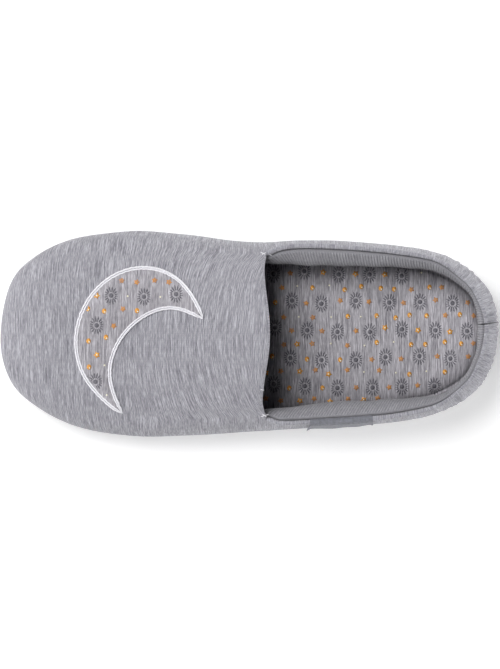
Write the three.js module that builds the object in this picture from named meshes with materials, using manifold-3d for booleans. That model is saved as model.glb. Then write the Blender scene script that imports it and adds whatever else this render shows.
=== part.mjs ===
// A slip-on house slipper for the left foot, empty and standing on its sole. A domed jersey upper is closed
// over the toes and open behind the throat; a padded ribbed facing lines its collar, a crescent patch with
// a satin-stitch edge lies on the vamp, and a foam insole lies on a moulded rubber sole.
// Millimetres. +X points to the toe, +Y to the outer side of the foot, +Z up.
import * as THREE from "three";
import { mergeVertices } from "three/addons/utils/BufferGeometryUtils.js";
import Module from "manifold-3d";

const wasm = await Module();
wasm.setup();

// Overall sizes of the upper
const overallLength = 258;
const ballWidth = 106;
const instepHeight = 67;
const heelHeight = 51;
const upperWall = 2.4;
const rimRound = 0.9;

// How the side wall swells: height of its widest line, how far its foot tucks in, and the arc of that tuck
const bulgeHeight = 24;
const footTuck = 8;
const tuckTurn = THREE.MathUtils.degToRad(64);

// Throat and collar rim: the arc up to the throat's corner, the rim's lean and arc at the heel, the
// throat edge's bow to the heel, and the share of the collar over which the corner's form fades
const cornerTurn = THREE.MathUtils.degToRad(27);
const heelLean = 6.4;
const heelTurn = THREE.MathUtils.degToRad(56);
const throatBow = 3.6;
const bowReach = 32;
const cornerFade = 0.12;

// Sole: thickness at ball and heel, rise of the toe and of the waist, lip past the upper's foot, edges
const ballThickness = 5.5;
const heelThickness = 7.5;
const toeSpring = 6;
const waistRise = 1.8;
const soleLip = 0.9;
const soleChamfer = 1.6;

// Tread: chevron grooves in the ball and the heel of the sole, each field starting at a share of the length
const grooveWidth = 2.2;
const grooveDepth = 1.4;
const groovePitch = 8;
const grooveSweep = 6;
const treadMargin = 6.5;
const ballTread = { from: 0.58, grooves: 9 };
const heelTread = { from: 0.31, grooves: 6 };

// Insole, and the play left between pieces that touch
const insoleThickness = 7;
const insoleRound = 1.4;
const heelCup = 1.5;
const fitGap = 0.3;

// Padded facing of the collar: its play to the wall, how far its roll stands in and hangs down, its cloth
// below the roll and how far it starts under the rim
const facingGap = 0.5;
const facingPad = 8.2;
const facingRoll = 19;
const facingCloth = 1.4;
const facingDrop = 0.6;

// Ends of the facing: rows of the sections that it reaches under the vamp, its share of padding there, and
// where behind the throat its roll begins to swell and how long that takes
const facingUnder = 0.5;
const facingThin = 0.45;
const facingLead = 0;
const facingSwell = 15;

// Crescent patch: the two ovals whose arcs bound it, each with its centre ahead of the throat and to the
// outer side, its radii and its turn, then its stitched edge and its cloth
const moonAhead = 63.8;
const moonOuter = 1.7;
const moonAlong = 31.8;
const moonAcross = 36;
const moonTurn = THREE.MathUtils.degToRad(-18);
const biteAhead = 49.2;
const biteOuter = 16.7;
const biteAlong = 27.8;
const biteAcross = 32.4;
const biteTurn = THREE.MathUtils.degToRad(-40);
const stitchWidth = 2.3;
const stitchHeight = 1.1;
const patchThickness = 0.7;
const patchGap = 0.35;
const patchTrim = 0.03;

// Side label: a folded ribbon held in the rim's seam on the outer side, behind the throat
const labelLength = 34.5;
const labelBehind = 22.3;
const labelDrop = 11;
const labelThickness = 0.9;
const labelFlare = 1.6;

// Sections of the upper from the toe tip to the heel. along and spine are shares of the length, counted
// from the heel: where the widest line is, and where the section's arc aims. inner and outer are shares
// of the ball width, tuck of footTuck, bulge of bulgeHeight. full is the power of the arc's height: under
// 1 the shoulders are fuller.
const sections = [
  { name: "toe", along: 1.0, spine: 0.845, inner: -0.025, outer: 0.025, tuck: 0.62, bulge: 0.88, full: 0.86 },
  { name: "toe corner", along: 0.98, spine: 0.838, inner: 0.239, outer: 0.225, tuck: 0.6, bulge: 0.87, full: 0.86 },
  { name: "toe side", along: 0.93, spine: 0.815, inner: 0.379, outer: 0.35, tuck: 0.57, bulge: 0.85, full: 0.86 },
  { name: "toes", along: 0.85, spine: 0.77, inner: 0.466, outer: 0.449, tuck: 0.55, bulge: 0.83, full: 0.87 },
  { name: "ball", along: 0.74, spine: 0.69, inner: 0.503, outer: 0.498, tuck: 0.55, bulge: 0.83, full: 0.89 },
  { name: "behind ball", along: 0.63, spine: 0.6, inner: 0.486, outer: 0.498, tuck: 0.66, bulge: 0.86, full: 0.93 },
  { name: "instep", along: 0.54, spine: 0.525, inner: 0.46, outer: 0.484, tuck: 0.78, bulge: 0.9, full: 0.97 },
  { name: "throat", along: 0.472, spine: 0.472, inner: 0.448, outer: 0.474, tuck: 0.88, bulge: 0.94, full: 1 },
  { name: "waist", along: 0.4, spine: 0.41, inner: 0.458, outer: 0.464, tuck: 0.96, bulge: 0.98, full: 1 },
  { name: "back waist", along: 0.31, spine: 0.34, inner: 0.454, outer: 0.463, tuck: 1, bulge: 1, full: 1 },
  { name: "heel side", along: 0.21, spine: 0.275, inner: 0.433, outer: 0.431, tuck: 0.98, bulge: 1, full: 1 },
  { name: "heel curve", along: 0.12, spine: 0.225, inner: 0.398, outer: 0.388, tuck: 0.92, bulge: 1, full: 1 },
  { name: "heel corner", along: 0.052, spine: 0.195, inner: 0.307, outer: 0.295, tuck: 0.84, bulge: 1, full: 1 },
  { name: "heel back", along: 0.013, spine: 0.18, inner: 0.187, outer: 0.156, tuck: 0.78, bulge: 1, full: 1 },
  { name: "heel", along: 0.0, spine: 0.175, inner: 0.028, outer: -0.028, tuck: 0.76, bulge: 1, full: 1 },
];

// Crown line of the vamp, heights as shares of instepHeight, from behind the throat to past the toe.
const crownRows = [
  { at: 0.42, height: 1.03 },
  { at: 0.47, height: 1 },
  { at: 0.56, height: 0.91 },
  { at: 0.66, height: 0.81 },
  { at: 0.76, height: 0.73 },
  { at: 0.86, height: 0.655 },
  { at: 1.0, height: 0.55 },
];

// Collar rim from the throat's corner, 0, to the middle of the heel, 1: height as a share of heelHeight,
// lean of heelLean and turn of heelTurn.
const collarRows = [
  { at: 0, height: 0.86, lean: 0.6, turn: 0.5 },
  { at: 0.25, height: 0.865, lean: 0.42, turn: 0.6 },
  { at: 0.5, height: 0.88, lean: 0.46, turn: 0.75 },
  { at: 0.75, height: 0.935, lean: 0.72, turn: 0.9 },
  { at: 1, height: 1, lean: 1, turn: 1 },
];

// Roll of the padded facing from the rim down: drop is a share of facingRoll, pad one of facingPad.
const facingRows = [
  { drop: 0, pad: 0.14 },
  { drop: 0.06, pad: 0.4 },
  { drop: 0.17, pad: 0.72 },
  { drop: 0.3, pad: 0.93 },
  { drop: 0.43, pad: 1 },
  { drop: 0.6, pad: 0.88 },
  { drop: 0.78, pad: 0.52 },
  { drop: 1, pad: 0.2 },
];

// Section of the stitched edge: side is a share of half stitchWidth, lift one of stitchHeight.
const stitchRows = [
  { side: -1, lift: 0 },
  { side: 0, lift: 0 },
  { side: 1, lift: 0 },
  { side: 0.75, lift: 0.7 },
  { side: 0, lift: 1 },
  { side: -0.75, lift: 0.7 },
];

// Underside of the sole, rise over the floor: lift is a share of waistRise, spring one of toeSpring.
const rockerRows = [
  { at: 0, lift: 0, spring: 0 },
  { at: 0.33, lift: 0, spring: 0 },
  { at: 0.44, lift: 1, spring: 0 },
  { at: 0.55, lift: 0, spring: 0 },
  { at: 0.78, lift: 0, spring: 0 },
  { at: 0.88, lift: 0, spring: 0.28 },
  { at: 1, lift: 0, spring: 1 },
];

// Grid of the upper: steps between two rows, below the widest line, up to the rim and on to the crown
const stepsPerRow = 3;
const footSteps = 5;
const rimSteps = 5;
const crownSteps = 8;

// Grids of the crescent and the label: steps along and across
const edgeSteps = 28;
const patchSteps = { along: 22, across: 3 };
const labelSteps = { along: 8, down: 4 };

const lastRow = sections.length - 1;
const stationsAround = 2 * lastRow;
const throatStation = sections.findIndex((row) => row.name === "throat");

const throatX = (sections[throatStation].along - 0.5) * overallLength;

const moonOval = { ahead: moonAhead, outer: moonOuter, along: moonAlong, across: moonAcross, turn: moonTurn };
const biteOval = { ahead: biteAhead, outer: biteOuter, along: biteAlong, across: biteAcross, turn: biteTurn };

const clamp01 = (value) => Math.min(1, Math.max(0, value));
const smooth = (share) => clamp01(share) ** 2 * (3 - 2 * clamp01(share));
const mix = (a, b, share) => a + (b - a) * share;
const alongToX = (share) => (share - 0.5) * overallLength;
const xToAlong = (x) => x / overallLength + 0.5;

// Cubic through equally spaced values that takes its slopes from the neighbours.
function cubic(before, from, to, after, share) {
  const slopeFrom = (to - before) / 2;
  const slopeTo = (after - from) / 2;
  const bend = 3 * (to - from) - 2 * slopeFrom - slopeTo;
  const turn = slopeFrom + slopeTo - 2 * (to - from);
  return from + share * (slopeFrom + share * (bend + share * turn));
}

// A column of a small table at a share, running smoothly from row to row.
function readRows(rows, column, at) {
  const last = rows.length - 1;
  const place = Math.min(last - 1, Math.max(0, rows.findIndex((row) => row.at > at) - 1));
  const from = at >= rows[last].at ? last - 1 : place;
  const share = clamp01((at - rows[from].at) / (rows[from + 1].at - rows[from].at));
  return mix(rows[from][column], rows[from + 1][column], smooth(share));
}

// The crown line needs an even slope, so its heights run on a cubic through the rows.
function crownAt(x) {
  const at = xToAlong(x);
  const last = crownRows.length - 1;
  const found = crownRows.findIndex((row) => row.at > at) - 1;
  const from = at >= crownRows[last].at ? last - 1 : Math.max(0, found);
  const share = (at - crownRows[from].at) / (crownRows[from + 1].at - crownRows[from].at);
  const pick = (index) => crownRows[Math.min(last, Math.max(0, index))].height;
  return instepHeight * cubic(pick(from - 1), pick(from), pick(from + 1), pick(from + 2), Math.min(share, 1.3));
}

// Stations run round the outline: 0 is the toe tip, then the outer side, lastRow is the heel, then the
// inner side. fold gives the row that a station has in common with its mirror station.
const wrap = (station) => ((station % stationsAround) + stationsAround) % stationsAround;
const fold = (station) => Math.min(wrap(station), stationsAround - wrap(station));
const isVamp = (station) => fold(station) <= throatStation;

function column(name, station) {
  const row = fold(station);
  const from = Math.min(lastRow - 1, Math.floor(row));
  const pick = (index) => sections[lastRow - Math.abs(lastRow - Math.abs(index))][name];
  return cubic(pick(from - 1), pick(from), pick(from + 1), pick(from + 2), row - from);
}

function outline(station) {
  const at = wrap(station);
  const from = Math.floor(at);
  const knot = (index) => {
    const turned = wrap(index);
    const row = sections[fold(turned)];
    return { x: alongToX(row.along), y: ballWidth * (turned <= lastRow ? row.outer : -row.inner) };
  };
  const knots = [from - 1, from, from + 1, from + 2].map(knot);
  const run = (axis) => cubic(...knots.map((point) => point[axis]), at - from);
  return new THREE.Vector2(run("x"), run("y"));
}

function outwardAt(station) {
  const step = 0.02;
  const along = outline(station + step).sub(outline(station - step)).normalize();
  return new THREE.Vector2(along.y, -along.x);
}

const spineAt = (station) => new THREE.Vector2(alongToX(column("spine", station)), 0);
const tuckAt = (station) => footTuck * column("tuck", station);
const bulgeAt = (station) => bulgeHeight * column("bulge", station);

// Floor to the underside, and floor to the top face of the sole, at a place along it.
function undersideAt(x) {
  const at = xToAlong(x);
  return waistRise * readRows(rockerRows, "lift", at) + toeSpring * readRows(rockerRows, "spring", at);
}

function soleTopAt(x) {
  return undersideAt(x) + mix(heelThickness, ballThickness, smooth((xToAlong(x) - 0.25) / 0.35));
}

// The foot of the wall, as the plan point where the upper meets the sole.
function footAt(station, inset) {
  return outline(station).addScaledVector(outwardAt(station), -inset - tuckAt(station));
}

// How far the collar has gone from the throat's corner to the heel, 0 to 1.
const collarShare = (station) => (fold(station) - throatStation) / (lastRow - throatStation);

// What the wall's upper arc ends on: its reach in plan, its turn and its height, at crown or rim.
function arcEnd(station, inset) {
  const start = outline(station).addScaledVector(outwardAt(station), -inset);
  const reach = start.distanceTo(spineAt(station));
  if (isVamp(station)) return { start, reach, turn: Math.PI / 2, rim: null };
  const share = collarShare(station);
  const corner = 1 - smooth(share / cornerFade);
  const bulge = bulgeAt(station);
  const crown = crownAt(throatX) - inset;
  const turn = mix(heelTurn * readRows(collarRows, "turn", share), cornerTurn, corner);
  const lean = mix(heelLean * readRows(collarRows, "lean", share), reach * (1 - Math.cos(cornerTurn)), corner);
  const cornerHeight = bulge + (crown - bulge) * Math.sin(cornerTurn);
  const rim = mix(heelHeight * readRows(collarRows, "height", share), cornerHeight, corner);
  return { start, reach: lean, turn, rim };
}

// A point of the wall at an arc angle: under 0 down to its foot, 0 on the widest line, then up and in.
// inset moves the whole form inwards, and a negative inset outwards.
function wallPoint(station, angle, inset = 0) {
  const bulge = bulgeAt(station);
  if (angle < 0) {
    const foot = footAt(station, inset);
    const start = outline(station).addScaledVector(outwardAt(station), -inset);
    const share = (1 - Math.cos(angle)) / (1 - Math.cos(tuckTurn));
    const plan = start.lerp(foot, share);
    const floor = soleTopAt(foot.x) + fitGap;
    const height = bulge + ((bulge - floor) * Math.sin(angle)) / Math.sin(tuckTurn);
    return new THREE.Vector3(plan.x, plan.y, height);
  }
  const end = arcEnd(station, inset);
  const inwards = spineAt(station).sub(end.start).normalize();
  const gone = (end.reach * (1 - Math.cos(angle))) / (1 - Math.cos(end.turn));
  const plan = end.start.addScaledVector(inwards, gone);
  if (end.rim !== null) {
    const height = bulge + ((end.rim - bulge) * Math.sin(angle)) / Math.sin(end.turn);
    return new THREE.Vector3(plan.x, plan.y, height);
  }
  const nearThroat = smooth(1 - (outline(station).x - throatX) / bowReach);
  plan.x -= throatBow * nearThroat * Math.sin(angle) ** 2;
  const height = bulge + (crownAt(plan.x) - inset - bulge) * Math.sin(angle) ** column("full", station);
  return new THREE.Vector3(plan.x, plan.y, height);
}

// The wall's point at a height, on its lower arc or on its upper one as far as the rim.
function wallAtHeight(station, height, inset) {
  const bulge = bulgeAt(station);
  if (height < bulge) {
    const floor = soleTopAt(footAt(station, inset).x) + fitGap;
    const sine = ((bulge - height) / (bulge - floor)) * Math.sin(tuckTurn);
    return wallPoint(station, -Math.asin(clamp01(sine)), inset);
  }
  const rim = wallPoint(station, rimTurnAt(station), inset);
  const sine = ((height - bulge) / (rim.z - bulge)) * Math.sin(rimTurnAt(station));
  return wallPoint(station, Math.asin(clamp01(sine)), inset);
}

const rimTurnAt = (station) => (isVamp(station) ? cornerTurn : arcEnd(station, 0).turn);

// Meshes are collected as points and outward triangles.
class Skin {
  constructor() {
    this.points = [];
    this.faces = [];
  }

  add(point) {
    this.points.push(point.x, point.y, point.z);
    return this.points.length / 3 - 1;
  }

  at(index) {
    return new THREE.Vector3().fromArray(this.points, 3 * index);
  }

  // Four corners in turn, split along the shorter diagonal.
  quad(a, b, c, d) {
    if (this.at(a).distanceTo(this.at(c)) < this.at(b).distanceTo(this.at(d))) this.faces.push(a, b, c, a, c, d);
    else this.faces.push(a, b, d, b, c, d);
  }

  geometry() {
    const made = new THREE.BufferGeometry();
    made.setAttribute("position", new THREE.Float32BufferAttribute(this.points, 3));
    made.setIndex(this.faces);
    return made;
  }

  solid() {
    const vertProperties = new Float32Array(this.points);
    return new wasm.Manifold(new wasm.Mesh({ numProp: 3, vertProperties, triVerts: new Uint32Array(this.faces) }));
  }
}

function geometryOf(solid) {
  const mesh = solid.getMesh();
  const made = new THREE.BufferGeometry();
  made.setAttribute("position", new THREE.BufferAttribute(mesh.vertProperties, 3));
  made.setIndex(new THREE.BufferAttribute(mesh.triVerts, 1));
  return made;
}

// Closed body from rings round the outline. The first and last rings lie on the spine line, where a
// station and its mirror share one point.
function ringBody(rings) {
  const skin = new Skin();
  const count = stationsAround * stepsPerRow;
  const ids = rings.map((ring, level) => {
    const folded = level === 0 || level === rings.length - 1;
    const made = [];
    for (let k = 0; k < count; k += 1) {
      const mirrored = folded && k > count / 2;
      made.push(mirrored ? made[count - k] : skin.add(ring(k / stepsPerRow)));
    }
    return made;
  });
  for (let level = 0; level < rings.length - 1; level += 1) {
    for (let k = 0; k < count; k += 1) {
      const next = (k + 1) % count;
      skin.quad(ids[level][k], ids[level][next], ids[level + 1][next], ids[level + 1][k]);
    }
  }
  return skin;
}

// Closed body from a row of closed loops of two facing sides, each end closed by a strip between the sides.
function loopBody(loops) {
  const skin = new Skin();
  const ids = loops.map((loop) => loop.map((point) => skin.add(point)));
  const size = loops[0].length;
  for (let k = 0; k < loops.length - 1; k += 1) {
    for (let i = 0; i < size; i += 1) {
      const next = (i + 1) % size;
      skin.quad(ids[k][i], ids[k][next], ids[k + 1][next], ids[k + 1][i]);
    }
  }
  const first = ids[0];
  const last = ids[loops.length - 1];
  for (let i = 0; i < size / 2 - 1; i += 1) {
    const far = size - 1 - i;
    skin.quad(first[i + 1], first[i], first[far], first[far - 1]);
    skin.quad(last[i], last[i + 1], last[far - 1], last[far]);
  }
  return skin;
}

// Upper: an outer and an inner form of the same wall, joined at its foot and by a rounded rim that runs
// round the collar and over the throat.
function makeUpper() {
  const skin = new Skin();
  const count = stationsAround * stepsPerRow;
  const top = rimSteps + crownSteps;
  const angleAt = (station, level) => {
    if (level < 0) return (level / footSteps) * tuckTurn;
    if (level <= rimSteps) return (level / rimSteps) * rimTurnAt(station);
    return mix(cornerTurn, Math.PI / 2, (level - rimSteps) / crownSteps);
  };
  const levelsOf = (k) => (isVamp(k / stepsPerRow) ? top : rimSteps);
  const layer = (inset) => {
    const ids = [];
    for (let k = 0; k < count; k += 1) {
      const station = k / stepsPerRow;
      const made = new Map();
      for (let level = -footSteps; level <= levelsOf(k); level += 1) {
        const shared = level === top && k > count / 2;
        made.set(level, shared ? ids[count - k].get(top)
          : skin.add(wallPoint(station, angleAt(station, level), inset)));
      }
      ids.push(made);
    }
    return ids;
  };
  const outside = layer(0);
  const inside = layer(upperWall);
  const foot = -footSteps;
  for (let k = 0; k < count; k += 1) {
    const next = (k + 1) % count;
    const limit = Math.min(levelsOf(k), levelsOf(next));
    for (let level = foot; level < limit; level += 1) {
      const up = level + 1;
      skin.quad(outside[k].get(level), outside[next].get(level), outside[next].get(up), outside[k].get(up));
      skin.quad(inside[next].get(level), inside[k].get(level), inside[k].get(up), inside[next].get(up));
    }
    skin.quad(inside[k].get(foot), inside[next].get(foot), outside[next].get(foot), outside[k].get(foot));
  }
  const corner = throatStation * stepsPerRow;
  const edge = [];
  for (let k = corner; k <= count - corner; k += 1) edge.push([k, rimSteps]);
  for (let level = rimSteps + 1; level <= top; level += 1) edge.push([count - corner, level]);
  for (let level = top - 1; level > rimSteps; level -= 1) edge.push([corner, level]);
  const rim = edge.map(([k, level]) => ({ outer: outside[k].get(level), inner: inside[k].get(level) }));
  const middles = rim.map(({ outer, inner }) => skin.at(outer).lerp(skin.at(inner), 0.5));
  rim.forEach((place, i) => {
    const ahead = middles[(i + 1) % rim.length].clone().sub(middles[(i + rim.length - 1) % rim.length]);
    const through = skin.at(place.outer).sub(skin.at(place.inner));
    place.middle = skin.add(middles[i].clone().addScaledVector(through.cross(ahead).normalize(), rimRound));
  });
  rim.forEach((place, i) => {
    const next = rim[(i + 1) % rim.length];
    skin.quad(place.outer, next.outer, next.middle, place.middle);
    skin.quad(place.middle, next.middle, next.inner, place.inner);
  });
  return skin.geometry();
}

// A closed prism over a plan shape, from one height to another.
function prism(points, bottom, top) {
  const options = { depth: top - bottom, bevelEnabled: false };
  const block = new THREE.ExtrudeGeometry(new THREE.Shape(points), options);
  block.translate(0, 0, bottom);
  block.deleteAttribute("normal");
  block.deleteAttribute("uv");
  const merged = mergeVertices(block);
  const skin = new Skin();
  skin.points = Array.from(merged.getAttribute("position").array);
  skin.faces = Array.from(merged.index.array);
  return skin.solid();
}

// A chevron groove across the sole: two bars that meet at a point nearer to the toe.
function grooveAt(x) {
  const half = ballWidth / 2 + grooveSweep;
  const points = [
    new THREE.Vector2(x - grooveWidth / 2 - grooveSweep, -half),
    new THREE.Vector2(x + grooveWidth / 2 - grooveSweep, -half),
    new THREE.Vector2(x + grooveWidth / 2, 0),
    new THREE.Vector2(x + grooveWidth / 2 - grooveSweep, half),
    new THREE.Vector2(x - grooveWidth / 2 - grooveSweep, half),
    new THREE.Vector2(x - grooveWidth / 2, 0),
  ];
  return prism(points, -grooveDepth, grooveDepth);
}

// Sole: its own outline past the foot of the upper, chamfered below, with grooved ball and heel.
function makeSole() {
  const edge = (inset) => (station) => footAt(station, inset - soleLip);
  const under = (plan, lift) => new THREE.Vector3(plan.x, plan.y, undersideAt(plan.x) + lift);
  const over = (plan, drop) => new THREE.Vector3(plan.x, plan.y, soleTopAt(plan.x) - drop);
  const inward = (station, share) => edge(soleChamfer)(station).lerp(spineAt(station), share);
  const body = ringBody([
    (station) => under(spineAt(station), 0),
    (station) => under(inward(station, 0.5), 0),
    (station) => under(edge(soleChamfer)(station), 0),
    (station) => under(edge(0)(station), soleChamfer),
    (station) => over(edge(0)(station), soleLip),
    (station) => over(footAt(station, 0), 0),
    (station) => over(footAt(station, upperWall), 0),
    (station) => over(insolePlan(station, 0), 0),
    (station) => over(insolePlan(station, 0.5), 0),
    (station) => over(insolePlan(station, 1), 0),
  ]).solid();
  const tread = [];
  for (let station = 0; station < stationsAround; station += 1) tread.push(footAt(station, treadMargin));
  const field = prism(tread, -grooveDepth, 2 * grooveDepth);
  const places = [];
  for (let i = 0; i < ballTread.grooves; i += 1) places.push(alongToX(ballTread.from) + i * groovePitch);
  for (let i = 0; i < heelTread.grooves; i += 1) places.push(alongToX(heelTread.from) - i * groovePitch);
  const grooves = wasm.Manifold.union(places.map(grooveAt));
  return geometryOf(body.subtract(field.intersect(grooves)));
}

// The insole's plan, from its edge, 0, to the spine line, 1.
function insolePlan(station, share) {
  return footAt(station, upperWall + fitGap).lerp(spineAt(station), share);
}

// Insole: fills the inside of the wall's foot, with rounded top edges and a shallow heel cup.
function makeInsole() {
  const bottom = (plan) => soleTopAt(plan.x) + fitGap;
  const cup = (plan, share) => heelCup * share * (1 - smooth((xToAlong(plan.x) - 0.2) / 0.2));
  const side = (station, height, more) => {
    const base = bottom(insolePlan(station, 0));
    const point = wallAtHeight(station, base + height, upperWall + fitGap);
    const out = outwardAt(station);
    return new THREE.Vector3(point.x - out.x * more, point.y - out.y * more, base + height);
  };
  const face = (station, share) => {
    const rim = side(station, insoleThickness, insoleRound);
    const plan = new THREE.Vector2(rim.x, rim.y).lerp(spineAt(station), share);
    return new THREE.Vector3(plan.x, plan.y, bottom(plan) + insoleThickness - cup(plan, smooth(share * 2)));
  };
  const base = (station, share) => {
    const plan = insolePlan(station, share);
    return new THREE.Vector3(plan.x, plan.y, bottom(plan));
  };
  return ringBody([
    (station) => base(station, 1),
    (station) => base(station, 0.5),
    (station) => base(station, 0),
    (station) => side(station, insoleThickness / 2, 0),
    (station) => side(station, insoleThickness - insoleRound, 0),
    (station) => face(station, 0),
    (station) => face(station, 0.22),
    (station) => face(station, 0.5),
    (station) => face(station, 1),
  ]).geometry();
}

// Facing: the padded, ribbed lining of the collar, from under one throat corner round to the other.
function makeFacing() {
  const loopAt = (station) => {
    const top = wallPoint(station, rimTurnAt(station), upperWall).z - facingDrop;
    const foot = soleTopAt(footAt(station, upperWall).x) + insoleThickness + 3 * fitGap;
    const swell = smooth((throatX - facingLead - outline(station).x) / facingSwell);
    const loop = [wallAtHeight(station, foot, upperWall + facingGap)];
    for (const row of facingRows) {
      loop.push(wallAtHeight(station, top - facingRoll * row.drop, upperWall + facingGap));
    }
    loop.splice(1, facingRows.length, ...loop.slice(1).reverse());
    for (const row of facingRows) {
      const pad = Math.max(facingPad * row.pad * mix(facingThin, 1, swell), facingPad * facingRows[0].pad);
      loop.push(wallAtHeight(station, top - facingRoll * row.drop, upperWall + facingGap + pad));
    }
    loop.push(wallAtHeight(station, foot, upperWall + facingGap + facingCloth));
    return loop.reverse();
  };
  const first = throatStation - facingUnder;
  const steps = Math.round((stationsAround - 2 * first) * stepsPerRow);
  const loops = [];
  for (let k = 0; k <= steps; k += 1) {
    loops.push(loopAt(first + (k * (stationsAround - 2 * first)) / steps));
  }
  return loopBody(loops).geometry();
}

// Height of the vamp over a plan point: finds the station whose arc passes over it.
function vampHeight(plan, inset) {
  let low = plan.y >= 0 ? 0 : stationsAround - throatStation;
  let high = plan.y >= 0 ? throatStation : stationsAround;
  const sideOf = (station) => {
    const start = outline(station).addScaledVector(outwardAt(station), -inset);
    const spine = spineAt(station);
    return start.sub(spine).cross(new THREE.Vector2(plan.x, plan.y).sub(spine));
  };
  for (let turn = 0; turn < 30; turn += 1) {
    const middle = (low + high) / 2;
    if (sideOf(middle) > 0) low = middle;
    else high = middle;
  }
  const spine = spineAt(low);
  const start = outline(low).addScaledVector(outwardAt(low), -inset);
  const share = clamp01(new THREE.Vector2(plan.x, plan.y).distanceTo(spine) / start.distanceTo(spine));
  return wallPoint(low, Math.acos(share), inset).z;
}

// An oval in plan, at an angle round it.
function ovalPoint(oval, angle) {
  const flat = new THREE.Vector2(oval.along * Math.cos(angle), oval.across * Math.sin(angle));
  flat.rotateAround(new THREE.Vector2(), oval.turn);
  return flat.add(new THREE.Vector2(throatX + oval.ahead, oval.outer));
}

// How far round the first oval it crosses the second, and whether it leaves it there.
function crossings(first, second) {
  const beyond = (angle) => {
    const point = ovalPoint(first, angle).sub(new THREE.Vector2(throatX + second.ahead, second.outer));
    point.rotateAround(new THREE.Vector2(), -second.turn);
    return Math.hypot(point.x / second.along, point.y / second.across) - 1;
  };
  const steps = 360;
  const found = [];
  for (let i = 0; i < steps; i += 1) {
    const from = (2 * Math.PI * i) / steps;
    const to = (2 * Math.PI * (i + 1)) / steps;
    const before = beyond(from);
    const after = beyond(to);
    if (before * after > 0) continue;
    found.push({ angle: from + ((to - from) * before) / (before - after), leaves: after > before });
  }
  return found;
}

// The arc of one oval that bounds the crescent, from its first tip to its second, in plan. The outer arc
// lies outside the other oval, and the inner arc inside it.
function crescentArc(own, other, outside) {
  const found = crossings(own, other);
  const start = found.find((crossing) => crossing.leaves === outside).angle;
  let end = found.find((crossing) => crossing.leaves !== outside).angle;
  if (end < start) end += 2 * Math.PI;
  return (share) => ovalPoint(own, mix(start, end, share));
}

// One side of the stitched edge: a low rounded ridge that follows an arc over the vamp.
function stitchRidge(arc) {
  const loops = [];
  for (let k = 0; k <= edgeSteps; k += 1) {
    const share = k / edgeSteps;
    const ahead = arc(Math.min(1, share + 0.01)).sub(arc(Math.max(0, share - 0.01))).normalize();
    const across = new THREE.Vector2(-ahead.y, ahead.x);
    const middle = arc(share);
    loops.push(stitchRows.map(({ side, lift }) => {
      const plan = middle.clone().addScaledVector(across, (side * stitchWidth) / 2);
      return new THREE.Vector3(plan.x, plan.y, vampHeight(plan, -patchGap) + lift * stitchHeight);
    }));
  }
  return loopBody(loops).solid();
}

function makeMoonEdge() {
  const outer = stitchRidge(crescentArc(moonOval, biteOval, true));
  const inner = stitchRidge(crescentArc(biteOval, moonOval, false));
  return geometryOf(outer.add(inner));
}

// The crescent of printed jersey inside the stitched edge.
function makeMoonPatch() {
  const shrink = stitchWidth / 2 + patchGap;
  const grown = (oval, by) => ({ ...oval, along: oval.along + by, across: oval.across + by });
  const outer = crescentArc(grown(moonOval, -shrink), grown(biteOval, shrink), true);
  const inner = crescentArc(grown(biteOval, shrink), grown(moonOval, -shrink), false);
  const onVamp = (plan, lift) => new THREE.Vector3(plan.x, plan.y, vampHeight(plan, -patchGap - lift));
  const loops = [];
  for (let k = 0; k <= patchSteps.along; k += 1) {
    const share = mix(patchTrim, 1 - patchTrim, k / patchSteps.along);
    const plans = [];
    for (let i = 0; i <= patchSteps.across; i += 1) {
      plans.push(outer(share).lerp(inner(share), i / patchSteps.across));
    }
    const under = plans.map((plan) => onVamp(plan, 0));
    const over = plans.map((plan) => onVamp(plan, patchThickness));
    loops.push([...under, ...over.reverse()]);
  }
  return loopBody(loops).geometry();
}

// The station on the outer side whose widest line is at a given x.
function outerStationAt(x) {
  let low = 0;
  let high = lastRow;
  for (let turn = 0; turn < 30; turn += 1) {
    const middle = (low + high) / 2;
    if (outline(middle).x > x) low = middle;
    else high = middle;
  }
  return low;
}

// Label: from the rim's seam over the rim, then down the outer side with its lower edge standing off.
function makeLabel() {
  const from = outerStationAt(throatX - labelBehind - labelLength);
  const to = outerStationAt(throatX - labelBehind);
  const loops = [];
  for (let k = 0; k <= labelSteps.along; k += 1) {
    const station = mix(from, to, k / labelSteps.along);
    const seam = wallPoint(station, rimTurnAt(station), upperWall);
    const edge = wallPoint(station, rimTurnAt(station), -fitGap);
    const over = seam.z + rimRound + fitGap;
    const near = [seam.clone().setZ(over), edge.clone().setZ(over)];
    const far = [seam.clone().setZ(over + labelThickness), edge.clone().setZ(over + labelThickness)];
    for (let i = 1; i <= labelSteps.down; i += 1) {
      const share = i / labelSteps.down;
      const off = fitGap + labelFlare * share * share;
      const height = edge.z - labelDrop * share;
      near.push(wallAtHeight(station, height, -off));
      far.push(wallAtHeight(station, height, -off - labelThickness));
    }
    loops.push([...near, ...far.reverse()]);
  }
  return loopBody(loops).geometry();
}

const jersey = new THREE.MeshStandardMaterial({ color: "#a7a5ac", roughness: 0.95, metalness: 0 });
const ribKnit = new THREE.MeshStandardMaterial({ color: "#918f95", roughness: 0.95, metalness: 0 });
const printedJersey = new THREE.MeshStandardMaterial({ color: "#9a9698", roughness: 0.95, metalness: 0 });
const satinThread = new THREE.MeshStandardMaterial({ color: "#e4e3ea", roughness: 0.5, metalness: 0 });
const ribbon = new THREE.MeshStandardMaterial({ color: "#7f808a", roughness: 0.7, metalness: 0 });
const soleRubber = new THREE.MeshStandardMaterial({ color: "#4a4b50", roughness: 0.85, metalness: 0 });

function piece(name, geometry, material) {
  const mesh = new THREE.Mesh(geometry, material);
  mesh.name = name;
  return mesh;
}

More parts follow.
